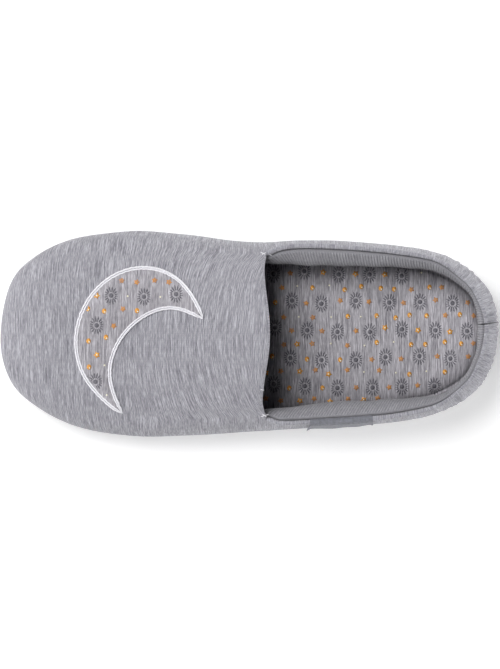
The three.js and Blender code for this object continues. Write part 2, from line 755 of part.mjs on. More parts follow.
const slipper = new THREE.Group();
slipper.add(piece("outsole", makeSole(), soleRubber));
slipper.add(piece("insole", makeInsole(), printedJersey));
slipper.add(piece("upper", makeUpper(), jersey));
slipper.add(piece("collar_facing", makeFacing(), ribKnit));
slipper.add(piece("moon_patch", makeMoonPatch(), printedJersey));
slipper.add(piece("moon_stitching", makeMoonEdge(), satinThread));
slipper.add(piece("side_label", makeLabel(), ribbon));

export default slipper;
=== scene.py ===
# A knitted slip-on slipper for the left foot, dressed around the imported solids.
# Shapes are worked out in millimetres and turned to metres when a mesh is made.
import math

import bpy
import numpy as np
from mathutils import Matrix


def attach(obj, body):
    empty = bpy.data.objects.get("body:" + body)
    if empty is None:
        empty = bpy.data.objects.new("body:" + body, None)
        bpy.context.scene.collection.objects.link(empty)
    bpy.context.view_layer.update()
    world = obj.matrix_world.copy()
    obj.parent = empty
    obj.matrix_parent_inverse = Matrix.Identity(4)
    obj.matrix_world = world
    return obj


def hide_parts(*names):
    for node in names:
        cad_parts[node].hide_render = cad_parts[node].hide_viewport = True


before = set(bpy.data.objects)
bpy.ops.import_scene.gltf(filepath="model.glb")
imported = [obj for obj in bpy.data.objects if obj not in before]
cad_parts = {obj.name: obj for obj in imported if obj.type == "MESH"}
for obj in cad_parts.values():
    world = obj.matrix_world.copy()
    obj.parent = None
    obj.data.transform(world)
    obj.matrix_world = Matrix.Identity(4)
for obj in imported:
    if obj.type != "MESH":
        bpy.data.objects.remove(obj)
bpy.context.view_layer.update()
print("stage: frame loaded")

shoe = {
    "length": 258.0, "ball": 106.0, "instep": 67.0, "heel": 51.0,
    "wall": 2.4,              # jersey with its thin foam
    "bulge": 24.0,            # height of the widest line
    "tuck": 8.0, "tuckTurn": math.radians(64),
    "cornerTurn": math.radians(27),
    "heelLean": 6.4, "heelTurn": math.radians(56),
    "bow": 2.3, "bowReach": 32.0, "cornerFade": 0.07,
    # how far the throat's line runs ahead beside its bow, and the turn over which it starts to
    "innerLead": 1.2, "outerLead": 2.2, "leadTurn": 0.35,
    "ballSole": 5.5, "heelSole": 7.5, "toeSpring": 6.0, "waistRise": 1.8,
    "fit": 0.3,
}

# Sections from the toe tip to the heel, one line each.
sectionColumns = ("along", "spine", "inner", "outer", "tuck", "bulge", "full")
sectionRows = [
    (1.0, 0.845, -0.025, 0.025, 0.62, 0.88, 0.86),    # toe
    (0.98, 0.838, 0.239, 0.225, 0.6, 0.87, 0.86),     # toe corner
    (0.93, 0.815, 0.379, 0.35, 0.57, 0.85, 0.86),     # toe side
    (0.85, 0.77, 0.466, 0.449, 0.55, 0.83, 0.87),     # toes
    (0.74, 0.69, 0.503, 0.498, 0.55, 0.83, 0.89),     # ball
    (0.63, 0.6, 0.486, 0.498, 0.66, 0.86, 0.93),      # behind the ball
    (0.54, 0.525, 0.46, 0.484, 0.78, 0.9, 0.97),      # instep
    (0.469, 0.472, 0.448, 0.474, 0.88, 0.94, 1.0),    # throat
    (0.4, 0.41, 0.458, 0.461, 0.96, 0.98, 1.0),       # waist
    (0.31, 0.34, 0.454, 0.452, 1.0, 1.0, 1.0),        # back of the waist
    (0.21, 0.275, 0.433, 0.431, 0.98, 1.0, 1.0),      # heel side
    (0.12, 0.225, 0.398, 0.388, 0.92, 1.0, 1.0),      # heel curve
    (0.052, 0.195, 0.307, 0.295, 0.84, 1.0, 1.0),     # heel corner
    (0.013, 0.18, 0.187, 0.156, 0.78, 1.0, 1.0),      # heel back
    (0.0, 0.175, 0.028, -0.028, 0.76, 1.0, 1.0),      # heel
]
section = dict(zip(sectionColumns, np.array(sectionRows).T))
heelRow, throatRow, ringSize = 14, 7, 28
throatX = (section["along"][throatRow] - 0.5) * shoe["length"]

# Small tables: the place along each run, then the value there.
def table(*rows):
    return np.array(rows, float).T


crownTable = table((0.42, 1.03), (0.47, 1), (0.56, 0.91), (0.66, 0.81), (0.76, 0.73), (0.86, 0.655),
                   (1, 0.55))
collarTable = {
    "height": table((0, 0.86), (0.25, 0.865), (0.5, 0.89), (0.63, 0.925), (0.78, 0.965), (1, 1)),
    "lean": table((0, 0.5), (0.14, 0.34), (0.28, 0.38), (0.41, 0.4), (0.55, 0.5), (0.72, 0.88), (0.86, 1.05),
                  (1, 0.98)),
    "turn": table((0, 0.5), (0.25, 0.6), (0.5, 0.75), (0.75, 0.9), (1, 1)),
}
waistTable = table((0, 0), (0.33, 0), (0.44, 1), (0.55, 0), (1, 0))
springTable = table((0, 0), (0.78, 0), (0.88, 0.28), (1, 1))


# t squared times (3 - 2t), held between 0 and 1
def smooth(t):
    t = np.clip(t, 0, 1)
    return t * t * (3 - 2 * t)


# a cubic from b to c whose end slopes are half of c - a and half of d - b
def cubic(a, b, c, d, t):
    low, high = (c - a) / 2, (d - b) / 2
    return b + t * (low + t * (3 * (c - b) - 2 * low - high + t * (low + high - 2 * (c - b))))


# eases from row to row of a small table
def readTable(table, at):
    i = np.clip(np.searchsorted(table[0], at, side="right") - 1, 0, len(table[0]) - 2)
    share = (at - table[0][i]) / (table[0][i + 1] - table[0][i])
    return table[1][i] + (table[1][i + 1] - table[1][i]) * smooth(share)


# height of the crown line, a cubic through its rows
def crown(x):
    at = x / shoe["length"] + 0.5
    last = len(crownTable[0]) - 1
    i = np.clip(np.searchsorted(crownTable[0], at, side="right") - 1, 0, last - 1)
    share = np.minimum((at - crownTable[0][i]) / (crownTable[0][i + 1] - crownTable[0][i]), 1.3)
    rows = [crownTable[1][np.clip(i + step, 0, last)] for step in (-1, 0, 1, 2)]
    return shoe["instep"] * cubic(*rows, share)


# Stations run round the outline: 0 toe tip, 7 throat, 14 heel on the outer side, then back on the inner.
def fold(station):
    turned = np.mod(station, ringSize)
    return np.minimum(turned, ringSize - turned)


# a section column at any station, mirrored past toe and heel
def read(name, station):
    row = fold(station)
    base = np.minimum(np.floor(row).astype(int), heelRow - 1)
    rows = [section[name][heelRow - np.abs(heelRow - np.abs(base + step))] for step in (-1, 0, 1, 2)]
    return cubic(*rows, row - base)


ringRows = fold(np.arange(ringSize)).astype(int)
ringSide = np.where(np.arange(ringSize) <= heelRow, section["outer"][ringRows], -section["inner"][ringRows])
ringKnots = np.stack([(section["along"][ringRows] - 0.5) * shoe["length"], shoe["ball"] * ringSide], 1)


# the widest line in plan, a closed cubic through the sections' points
def outline(station):
    base = np.floor(station).astype(int)
    knots = [ringKnots[(base + step) % ringSize] for step in (-1, 0, 1, 2)]
    return cubic(*knots, (station - base)[..., None])


# vectors brought to length 1
def unit(vectors):
    return vectors / np.linalg.norm(vectors, axis=-1, keepdims=True)


# right-hand normal of the outline's direction
def outward(station):
    run = unit(outline(station + 0.02) - outline(station - 0.02))
    return np.stack([run[..., 1], -run[..., 0]], -1)


def spine(station):
    x = (read("spine", station) - 0.5) * shoe["length"]
    return np.stack([x, 0 * x], -1)


# rise of the sole's underside: waist hump plus toe spring
def underside(x):
    at = x / shoe["length"] + 0.5
    return shoe["waistRise"] * readTable(waistTable, at) + shoe["toeSpring"] * readTable(springTable, at)


# underside plus a thickness that eases from heel to ball
def soleTop(x):
    share = smooth((x / shoe["length"] + 0.25) / 0.35)
    return underside(x) + shoe["heelSole"] + (shoe["ballSole"] - shoe["heelSole"]) * share


# plan point where the wall meets the sole
def footAt(station, inset):
    away = inset + shoe["tuck"] * read("tuck", station)
    return outline(station) - outward(station) * away[..., None]


# where the wall's upper arc starts, and its reach, turn, lean and height at the crown or the collar's rim;
# round the throat's corner the collar's values ease into those of the vamp
def arcEnd(station, inset=0.0):
    station, inset = np.broadcast_arrays(station, inset)
    start = outline(station) - outward(station) * inset[..., None]
    reach = np.linalg.norm(start - spine(station), axis=-1)
    share = np.clip((fold(station) - throatRow) / (heelRow - throatRow), 0, 1)
    corner = 1 - smooth(share / shoe["cornerFade"])
    bulge = shoe["bulge"] * read("bulge", station)
    cornerRim = bulge + (crown(throatX) - inset - bulge) * math.sin(shoe["cornerTurn"])
    turn = shoe["heelTurn"] * readTable(collarTable["turn"], share)
    lean = shoe["heelLean"] * readTable(collarTable["lean"], share)
    rim = shoe["heel"] * readTable(collarTable["height"], share)
    turn += (shoe["cornerTurn"] - turn) * corner
    lean += (reach * (1 - math.cos(shoe["cornerTurn"])) - lean) * corner
    rim += (cornerRim - rim) * corner
    return start, reach, turn, lean, rim


def isVamp(station):
    return fold(station) <= throatRow + 1e-6


def rimTurn(station):
    return np.where(isVamp(station), shoe["cornerTurn"], arcEnd(station)[2])


# The wall: below the widest line plan goes in with 1 - cos and height falls with sin; above it the plan
# runs to the spine line (vamp) or leans in by a little (collar), and height rises with sin.
def wall(station, angle, inset=0.0):
    station, angle, inset = np.broadcast_arrays(np.asarray(station, float), angle, inset)
    start, reach, turn, lean, rim = arcEnd(station, inset)
    bulge = shoe["bulge"] * read("bulge", station)
    foot = footAt(station, inset)
    lowShare = (1 - np.cos(angle)) / (1 - math.cos(shoe["tuckTurn"]))
    lowPlan = start + (foot - start) * lowShare[..., None]
    floor = soleTop(foot[..., 0]) + shoe["fit"]
    lowHeight = bulge + (bulge - floor) * np.sin(angle) / math.sin(shoe["tuckTurn"])
    vamp = isVamp(station)
    turn = np.where(vamp, math.pi / 2, turn)
    gone = np.where(vamp, reach, lean) * (1 - np.cos(angle)) / (1 - np.cos(turn))
    plan = start + (spine(station) - start) * (gone / reach)[..., None]
    near = smooth(1 - (outline(station)[..., 0] - throatX) / shoe["bowReach"])
    sine = np.maximum(np.sin(angle), 0)
    lead = np.where(plan[..., 1] > 0, shoe["outerLead"], shoe["innerLead"])
    lead *= smooth((angle - shoe["cornerTurn"]) / shoe["leadTurn"])
    bowed = sine ** 8         # the bow keeps to the top of the arc
    planX = plan[..., 0] - np.where(vamp, near * (shoe["bow"] * bowed - lead * (1 - bowed)), 0)
    vampRise = (crown(planX) - inset - bulge) * sine ** read("full", station)
    height = bulge + np.where(vamp, vampRise, (rim - bulge) * sine / np.sin(turn))
    high = np.stack([planX, plan[..., 1], height], -1)
    low = np.concatenate([lowPlan, lowHeight[..., None]], -1)
    return np.where((angle < 0)[..., None], low, high)


# the wall's point at a height, on its lower arc or on its upper one as far as the rim
def wallAtHeight(station, height, inset):
    station, height, inset = np.broadcast_arrays(station, height, inset)
    bulge = shoe["bulge"] * read("bulge", station)
    floor = soleTop(footAt(station, inset)[..., 0]) + shoe["fit"]
    turn = rimTurn(station)
    rim = wall(station, turn, inset)[..., 2]
    lowSine = np.clip((bulge - height) / (bulge - floor) * math.sin(shoe["tuckTurn"]), 0, 1)
    highSine = np.clip((height - bulge) / (rim - bulge) * np.sin(turn), 0, 1)
    angle = np.where(height < bulge, -np.arcsin(lowSine), np.arcsin(highSine))
    return wall(station, angle, inset)


# station whose line to the spine runs through each plan point, found by halving, and the point's share of
# the way from the spine line to the ring
def ringShare(plan, ring):
    far = plan[..., 1] >= 0
    low, high = np.where(far, 0.0, float(heelRow)), np.where(far, float(heelRow), float(ringSize))
    for _ in range(28):
        middle = (low + high) / 2
        line, away = ring(middle) - spine(middle), plan - spine(middle)
        left = line[..., 0] * away[..., 1] - line[..., 1] * away[..., 0] > 0
        low, high = np.where(left, middle, low), np.where(left, high, middle)
    length = np.linalg.norm(ring(low) - spine(low), axis=-1)
    return low, np.linalg.norm(plan - spine(low), axis=-1) / length, length


# height of the vamp over plan points
def vampHeight(plan, inset):
    station, share, _ = ringShare(plan, lambda at: outline(at) - outward(at) * inset)
    return wall(station, np.arccos(np.clip(share, 0, 1)), inset)[..., 2]


# corners of each cell of a grid, in turn
def cells(grid):
    parts = (grid[:-1, :-1], grid[1:, :-1], grid[1:, 1:], grid[:-1, 1:])
    return np.stack(parts, 2).reshape(-1, 4, *grid.shape[2:])


# lengths of the steps along an axis, added up
def runLength(points, axis):
    steps = np.linalg.norm(np.diff(points, axis=axis), axis=-1)
    first = np.zeros_like(np.take(steps, [0], axis=axis))
    return np.concatenate([first, np.cumsum(steps, axis=axis)], axis=axis)


# average of the faces' normals round each point
def normalsOf(points, quads):
    across = np.cross(points[quads[:, 2]] - points[quads[:, 0]], points[quads[:, 3]] - points[quads[:, 1]])
    total = np.zeros_like(points)
    for corner in range(4):
        np.add.at(total, quads[:, corner], across)
    return total / np.maximum(np.linalg.norm(total, axis=1, keepdims=True), 1e-9)


# sum of a dozen sine waves in seeded directions, about -1 to 1
def ripple(points, size, seed):
    rng = np.random.default_rng(seed)
    ways = rng.normal(size=(12, points.shape[-1]))
    ways *= (2 * math.pi / size * rng.uniform(0.6, 1.4, 12) / np.linalg.norm(ways, axis=1))[:, None]
    return np.sin(points @ ways.T + rng.uniform(0, 2 * math.pi, 12)).sum(-1) / 4


# closed mesh from points in mm, faces with four and three corners, and the corners' places on the cloth
def makePiece(name, points, quads, tris=None, cloth=None):
    tris = np.zeros((0, 3), int) if tris is None else tris
    used, renamed = np.unique(np.concatenate([quads.ravel(), tris.ravel()]), return_inverse=True)
    points = points[used]
    sizes = np.repeat([4, 3], [len(quads), len(tris)])
    mesh = bpy.data.meshes.new(name)
    mesh.vertices.add(len(points))
    mesh.vertices.foreach_set("co", (points / 1000).astype(np.float32).ravel())
    mesh.loops.add(len(renamed))
    mesh.loops.foreach_set("vertex_index", renamed.astype(np.int32).ravel())
    mesh.polygons.add(len(sizes))
    mesh.polygons.foreach_set("loop_start", (np.cumsum(sizes) - sizes).astype(np.int32))
    mesh.polygons.foreach_set("use_smooth", np.ones(len(sizes), bool))
    if cloth is not None:
        layer = mesh.uv_layers.new(name="cloth")
        layer.uv.foreach_set("vector", cloth.astype(np.float32).ravel())
    mesh.update(calc_edges=True)
    mesh.validate()
    piece = bpy.data.objects.new(name, mesh)
    bpy.context.scene.collection.objects.link(piece)
    return piece


# turns every face round when the signed volume of the body, a sum over its faces, is below zero
def facing(points, quads, cloth=None):
    a, b, c, d = (points[quads[:, i]] for i in range(4))
    if (np.cross(a, b) * c).sum() + (np.cross(a, c) * d).sum() < 0:
        quads, cloth = quads[:, ::-1], None if cloth is None else cloth[:, ::-1]
    return quads if cloth is None else (quads, cloth)


# body from closed loops (count, size, 3) in turn along a path: strips join the loops, and strips between the
# two facing halves of the first and of the last loop close the ends
def loftBody(loops):
    count, size = loops.shape[:2]
    points = loops.reshape(-1, 3)
    ids = np.arange(count * size).reshape(count, size)
    half = np.arange(size // 2 - 1)
    far = size - 1 - half
    first = np.stack([far - 1, far, half, half + 1], 1)
    last = first[:, ::-1] + (count - 1) * size
    quads = np.concatenate([cells(np.concatenate([ids, ids[:, :1]], 1)), first, last])
    return points, facing(points, quads)


# sRGB hex to linear light: c / 12.92 below 0.04045, else ((c + 0.055) / 1.055) to the power 2.4
def linear(code):
    c = np.array([int(code[i:i + 2], 16) for i in (1, 3, 5)]) / 255
    return (*np.where(c <= 0.04045, c / 12.92, ((c + 0.055) / 1.055) ** 2.4).tolist(), 1.0)


# adds one shader node: settings go to its own properties or to its sockets; links feed its sockets, each from
# a socket or from the first output of a node
def addNode(tree, kind, settings=None, links=None):
    node = tree.nodes.new("ShaderNode" + kind)
    for key, value in (settings or {}).items():
        if isinstance(key, str) and hasattr(node, key):
            setattr(node, key, value)
        else:
            node.inputs[key].default_value = value
    for key, source in (links or {}).items():
        tree.links.new(getattr(source, "outputs", [source])[0], node.inputs[key])
    return node


# material with its shader and output ready; the rest is added by the caller
def newMaterial(name, shader):
    material = bpy.data.materials.new(name)
    material.use_nodes = True
    tree = material.node_tree
    tree.nodes.clear()
    made = addNode(tree, "BsdfPrincipled", shader)
    addNode(tree, "OutputMaterial", None, {"Surface": made})
    return material, tree, made


# three tones by how light a fibre is
def toneRamp(tree, factor, dark, middle, light, spread):
    ramp = addNode(tree, "ValToRGB", None, {"Fac": factor})
    stops = ramp.color_ramp.elements
    stops[0].position, stops[1].position = 0.5 - spread, 0.5 + spread
    stops[0].color, stops[1].color = linear(dark), linear(light)
    stops.new(0.5).color = linear(middle)
    return ramp


# melange yarn: long streaks along V, short ones, and single fibres, added up and toned; slow noise moves
# the place to the side, so that the streaks wander
def heather(tree, place, yarn):
    slow = addNode(tree, "TexNoise", {"Scale": 0.02, "Detail": 1.0}, {"Vector": place})
    aside = addNode(tree, "VectorMath", {"operation": "MULTIPLY_ADD", 1: (yarn["wander"], 0, 0)},
                    {0: slow.outputs["Color"]})
    place = addNode(tree, "VectorMath", {"operation": "ADD"}, {0: place, 1: aside})
    total = None
    for wide, long, weight in yarn["streaks"]:
        laid = addNode(tree, "Mapping", {"Scale": (1 / wide, 1 / long, 1 / wide)}, {"Vector": place})
        noise = addNode(tree, "TexNoise", {"Scale": 1.0, "Detail": 2.0, "Roughness": 0.6}, {"Vector": laid})
        part = addNode(tree, "Math", {"operation": "MULTIPLY_ADD", 1: weight, 2: -weight / 2}, {0: noise})
        total = part if total is None else addNode(tree, "Math", {"operation": "ADD"}, {0: total, 1: part})
    factor = addNode(tree, "Math", {"operation": "ADD", 1: 0.5}, {0: total})
    return toneRamp(tree, factor, *yarn["tones"], yarn["spread"]), factor


# plain knit: each wale is two legs that slant towards each other, by 1.2 courses, and the loops lift and sink
# along a leg between 0.4 and 1 of its height; pitch and course in mm
def knitRelief(tree, place, pitch, course):
    laid = addNode(tree, "Mapping", {"Scale": (1 / pitch, 1 / course, 1)}, {"Vector": place})
    split = addNode(tree, "SeparateXYZ", None, {0: laid})
    leg = addNode(tree, "Math", {"operation": "PINGPONG", 1: 0.5}, {0: split.outputs["X"]})
    bow = addNode(tree, "Math", {"operation": "MULTIPLY", 1: 2 * math.pi}, {0: leg})
    ridge = addNode(tree, "Math", {"operation": "SINE"}, {0: bow})
    slant = addNode(tree, "Math", {"operation": "MULTIPLY_ADD", 1: 1.2}, {0: leg, 2: split.outputs["Y"]})
    turn = addNode(tree, "Math", {"operation": "MULTIPLY", 1: 2 * math.pi}, {0: slant})
    loop = addNode(tree, "Math", {"operation": "SINE"}, {0: turn})
    lift = addNode(tree, "Math", {"operation": "MULTIPLY_ADD", 1: 0.3, 2: 0.7}, {0: loop})
    return addNode(tree, "Math", {"operation": "MULTIPLY"}, {0: ridge, 1: lift})


# place on the piece's own cloth map, which is in millimetres
def clothPlace(tree):
    return addNode(tree, "UVMap", {"uv_map": "cloth"})


# place on the object's own axes, in millimetres
def objectPlace(tree, up=1000):
    where = addNode(tree, "TexCoord").outputs["Object"]
    return addNode(tree, "Mapping", {"Scale": (1000, 1000, up)}, {"Vector": where})


# the same with height counted ten times less, for cloth that lies flat
def planPlace(tree):
    return objectPlace(tree, 100)


# Knitted jersey of melange cotton: matt, brushed, so it has a soft fuzz at grazing angles. Its fine streaks
# are under 0.5 mm wide; the stitches are drawn at 1.2 mm, a little coarser than real, so that they show.
jerseyYarn = {
    # each run of streaks: how wide and how long in mm, and its weight
    "streaks": [(0.45, 14.0, 1.25), (0.34, 3.0, 0.85), (2.0, 22.0, 0.25), (14.0, 30.0, 0.1)], "wander": 4.0,
    "tones": ("#6e6d76", "#9a99a0", "#c8c7cf"), "spread": 0.33,
    "pitch": 1.2, "course": 0.9, "relief": 0.00016, "fuzz": 0.9,
}


def makeJersey(name, yarn, place, shader):
    material, tree, cloth = newMaterial(name, shader)
    spot = place(tree)
    colour, factor = heather(tree, spot, yarn)
    if "groove" in yarn:       # rib knit: painted shade darkens the colour between two ribs, painted light lifts it on their ridges
        half = yarn["groove"] / 2
        split = addNode(tree, "SeparateXYZ", None, {0: spot})
        aside = addNode(tree, "Math", {"operation": "PINGPONG", 1: half}, {0: split.outputs["X"]})
        tones = {"From Min": 0.0, "From Max": half, "To Min": yarn["ridgePaintedLight"], "To Max": yarn["groovePaintedShade"]}
        shade = addNode(tree, "MapRange", {"interpolation_type": "SMOOTHSTEP", **tones}, {0: aside})
        colour = addNode(tree, "VectorMath", {"operation": "SCALE"}, {0: colour, "Scale": shade})
    tree.links.new(colour.outputs[0], cloth.inputs["Base Color"])
    stitches = knitRelief(tree, spot, yarn["pitch"], yarn["course"])
    both = addNode(tree, "Math", {"operation": "MULTIPLY_ADD", 1: yarn["fuzz"]}, {0: factor, 2: stitches})
    bump = addNode(tree, "Bump", {"Strength": 0.7, "Distance": yarn["relief"]}, {"Height": both})
    tree.links.new(bump.outputs[0], cloth.inputs["Normal"])
    return material


softCloth = {"Roughness": 0.95, "IOR": 1.45, "Specular IOR Level": 0.2,
             "Sheen Weight": 0.25, "Sheen Roughness": 0.5}
heatherJersey = makeJersey("heatherJersey", jerseyYarn, clothPlace, softCloth)

# painted shade: the lining inside the wall is toned dark to stand in for the shade there, so it sends little
# light back onto the insole
shadeDarkLiningYarn = dict(jerseyYarn, tones=("#46454b", "#5a595f", "#74737a"))
shadeDarkLiningJersey = makeJersey("shadeDarkLiningJersey", shadeDarkLiningYarn, planPlace, softCloth)

insoleYarn = dict(jerseyYarn, tones=("#6f6d74", "#a9a6ac", "#dad7de"), spread=0.37,
                  streaks=[(0.5, 11.0, 1.3), (0.36, 3.2, 0.8), (2.0, 16.0, 0.3)])
insoleJersey = makeJersey("insoleJersey", insoleYarn, planPlace, softCloth)

patchYarn = dict(jerseyYarn, tones=("#7a787e", "#a4a1a7", "#cfccd3"))
patchJersey = makeJersey("patchJersey", patchYarn, planPlace, softCloth)

# the rib knit's colour carries painted shade in the grooves between ribs and painted light on the ridges
ribYarn = dict(jerseyYarn, tones=("#76757b", "#98979d", "#bbbac0"),
               streaks=[(0.5, 5.0, 0.7), (0.4, 1.2, 0.6)], pitch=0.75, course=0.7, relief=0.0001,
               groove=1.5, ridgePaintedLight=1.08, groovePaintedShade=0.76)
ribKnit = makeJersey("ribKnit", ribYarn, clothPlace, softCloth)


# material toned by one noise, whose scale is per mm, with a relief over it
def makeToned(name, shader, place, scale, detail, tones, relief=None):
    material, tree, made = newMaterial(name, shader)
    spot = place(tree)
    noise = addNode(tree, "TexNoise", {"Scale": scale, "Detail": detail}, {"Vector": spot})
    ramp = toneRamp(tree, noise, *tones, 0.3)
    tree.links.new(ramp.outputs[0], made.inputs["Base Color"])
    if relief:
        kind, settings, strength, height = relief
        pattern = addNode(tree, kind, settings, {"Vector": spot}).outputs["Fac"]
        bump = addNode(tree, "Bump", {"Strength": strength, "Distance": height}, {"Height": pattern})
        tree.links.new(bump.outputs[0], made.inputs["Normal"])
    return material


# Embroidery thread: twisted rayon, glossy along each thread.
satinLook = {"Roughness": 0.42, "IOR": 1.5, "Sheen Weight": 0.2, "Sheen Roughness": 0.3}
satinThread = makeToned("satinThread", satinLook, objectPlace, 1.6, 3.0, ("#dcdbe2", "#efeef3", "#fbfafd"))

# Seam thread: spun polyester, matt and dark.
seamThread, _, _ = newMaterial("seamThread", {"Base Color": linear("#2e2e33"), "Roughness": 0.8,
                                              "Sheen Weight": 0.2})

# Woven ribbon: fine cross ribs every 0.5 mm and a smoother face than the jersey.
ribbonRibs = ("TexWave", {"bands_direction": "X", "Scale": 2 * math.pi / 20 / 0.5}, 0.6, 0.0001)
wovenRibbon = makeToned("wovenRibbon", {"Roughness": 0.72, "IOR": 1.5, "Sheen Weight": 0.15},
                        clothPlace, 0.8, 3.0, ("#616269", "#74757d", "#868790"), ribbonRibs)

# Blown rubber: moulded, matt, faintly mottled and pebbled by the mould.
rubberGrain = ("TexNoise", {"Scale": 1.6, "Detail": 2.0}, 0.5, 0.0002)
soleRubber = makeToned("soleRubber", {"Roughness": 0.8, "IOR": 1.5},
                       objectPlace, 0.25, 5.0, ("#3b3c41", "#45464b", "#505156"), rubberGrain)


# Inks: pigment and foil pressed into the knit, so the yarn still breaks them up. cover is how much of the
# yarn they hide, from its highest to its lowest.
def makeInk(name, tones, cover, shader):
    material, tree, ink = newMaterial(name, shader)
    place = planPlace(tree)
    yarn, _ = heather(tree, place, insoleYarn)
    grain = addNode(tree, "TexNoise", {"Scale": 1.6, "Detail": 3.0}, {"Vector": place})
    shares = {"From Min": 0.35, "From Max": 0.65, "To Min": cover[0], "To Max": cover[1]}
    hidden = addNode(tree, "MapRange", shares, {0: grain})
    mixed = addNode(tree, "Mix", {"data_type": "RGBA"},
                    {0: hidden, 6: yarn, 7: toneRamp(tree, grain, *tones, 0.2)})
    tree.links.new(mixed.outputs[2], ink.inputs["Base Color"])
    return material


charcoalInk = makeInk("charcoalInk", ("#383840", "#4f4f57", "#6a6971"), (0.6, 0.95),
                      {"Roughness": 0.9, "Specular IOR Level": 0.2})
ochreInk = makeInk("ochreInk", ("#a06420", "#c88434", "#dca050"), (0.6, 1.0),
                   {"Roughness": 0.8, "Specular IOR Level": 0.3})
goldFoil = makeInk("goldFoil", ("#c07a1c", "#e39a2c", "#f7c565"), (0.85, 1.0),
                   {"Roughness": 0.45, "Metallic": 0.2})
# the cream ink serves for the cream specks and for the painted highlight spots on the gold foil
creamInkAndPaintedHighlight = makeInk("creamInkAndPaintedHighlight", ("#e6dfc0", "#f4eed4", "#fdfaec"), (0.85, 1.0), {"Roughness": 0.6})
print("stage: materials made")

# Upper: one closed wall of jersey
upper = {
    "vampColumns": 88, "hemColumns": 12, "hemStations": 0.22,
    "hemFall": 1.5, "hemReach": 3.2, "hemTurn": 0.2,   # the hem rolls down towards the throat, mm
    "sideColumns": 48, "heelColumns": 320, "heelZone": (38, 46),
    "footLevels": 14, "wallLevels": 20, "crownLevels": 40,
    "rimSteps": 6, "rimRound": 1.0, "rimStep": 0.8,
    "softness": 0.16, "softSize": 42.0,        # slow unevenness of the cloth, mm
    # the yarn's streaks bow back towards the throat, by side squared
    "streakBow": 0.0055, "streakFrom": 85.0, "streakReach": 90.0, "streakSide": 48.0,
    "quarterPlace": 400.0,     # where the quarter's cloth starts, clear of the vamp's
    # seams: depth, width, and the lips beside them (height as a share, place, width), mm
    "seamDepth": 0.12, "seamShape": (0.9, 0.45, 2.4, 1.5),
    "backDepth": 1.4, "backShape": (0.6, 0.25, 1.7, 0.9),
    # gathers: size, weight, slant and seed of each run of them; depth, reach to the sides and least depth
    "gathers": ((8.5, 0.62, 0.4, 31), (4.2, 0.38, -0.5, 47)),
    "gather": 6.5, "gatherReach": 66.0, "beside": (3.5, 0.25),
    "deepest": 2.1,            # no crease goes through the wall, mm
    "backSeam": 3.1,           # mm from the heel's middle towards the inner side
    "seamThread": 0.42,        # radius of its thread, drawn a little thick so that it shows
    "seamSunk": 0.45,          # how deep its middle lies, mm
}


def upperLayer(inset):
    p, hem = upper, throatRow - upper["hemStations"]
    ahead = np.concatenate([np.linspace(0, hem, p["vampColumns"] + 1),
                            np.linspace(hem, throatRow, p["hemColumns"] + 1)[1:]])
    corners = (ringSize + throatRow, *p["heelZone"], 2 * ringSize - throatRow)
    counts = (p["sideColumns"], p["heelColumns"], p["sideColumns"])
    sides = [np.linspace(corners[i], corners[i + 1], counts[i] + 1)[1:] for i in range(3)]
    stations = np.concatenate([ringSize - ahead[::-1], ringSize + ahead[1:], *sides])[:-1]
    shares = np.concatenate([np.linspace(-1, 0, p["footLevels"] + 1),
                             np.linspace(0, 1, p["wallLevels"] + 1)[1:]])
    turns = np.where(shares < 0, shares * shoe["tuckTurn"], shares * rimTurn(stations)[:, None])
    low = wall(stations[:, None], turns, inset)
    crownTurns = np.linspace(shoe["cornerTurn"], math.pi / 2, p["crownLevels"] + 1)[1:]
    high = wall(stations[:2 * len(ahead) - 1, None], crownTurns[None, :], inset)
    run = runLength(high, 0)
    fromHem = np.clip(np.minimum(run, run[-1] - run) / p["hemReach"], 0, 1)
    fall = p["hemFall"] * (1 - np.sqrt(1 - (1 - fromHem) ** 2))
    high[..., 2] -= fall * smooth((crownTurns - shoe["cornerTurn"]) / p["hemTurn"]) * (inset == 0)
    return stations, low, high


# a seam's dip less its two lips: exp(-(away / width) squared) for the dip, the same round the lips' place
def seamPress(away, width, lip, lipPlace, lipWidth):
    return np.exp(-(away / width) ** 2) - lip * np.exp(-((away - lipPlace) / lipWidth) ** 2)


# gathers: creases between round puffs, |sin| of a phase that drifts along the girth and slants with height,
# each crease with its own depth; they fade out beside the back seam
def gathers(at, height, back):
    p, waves = upper, 0.0
    for size, weight, slant, seed in p["gathers"]:
        drift = (ripple(at, 30.0, seed) * 2.4 + ripple(at, 9.0, seed + 1) * 0.5)[:, None]
        patches = ripple(np.stack([at + 0 * height, 14 * height + 0 * at], -1), 13.0, seed + 2)
        depth = np.clip(0.55 + 0.45 * patches, 0, 1)
        waves = waves + weight * depth * (np.abs(np.sin(math.pi * at / size + drift + slant * height)) - 1)
    reach = smooth(1.3 - np.abs(at) / p["gatherReach"])
    near, least = p["beside"]
    reach = reach * (least + (1 - least) * smooth(back / near))
    return p["gather"] * waves * reach * smooth(0.35 + height) * (1 - 0.4 * smooth(height * 8 - 7))


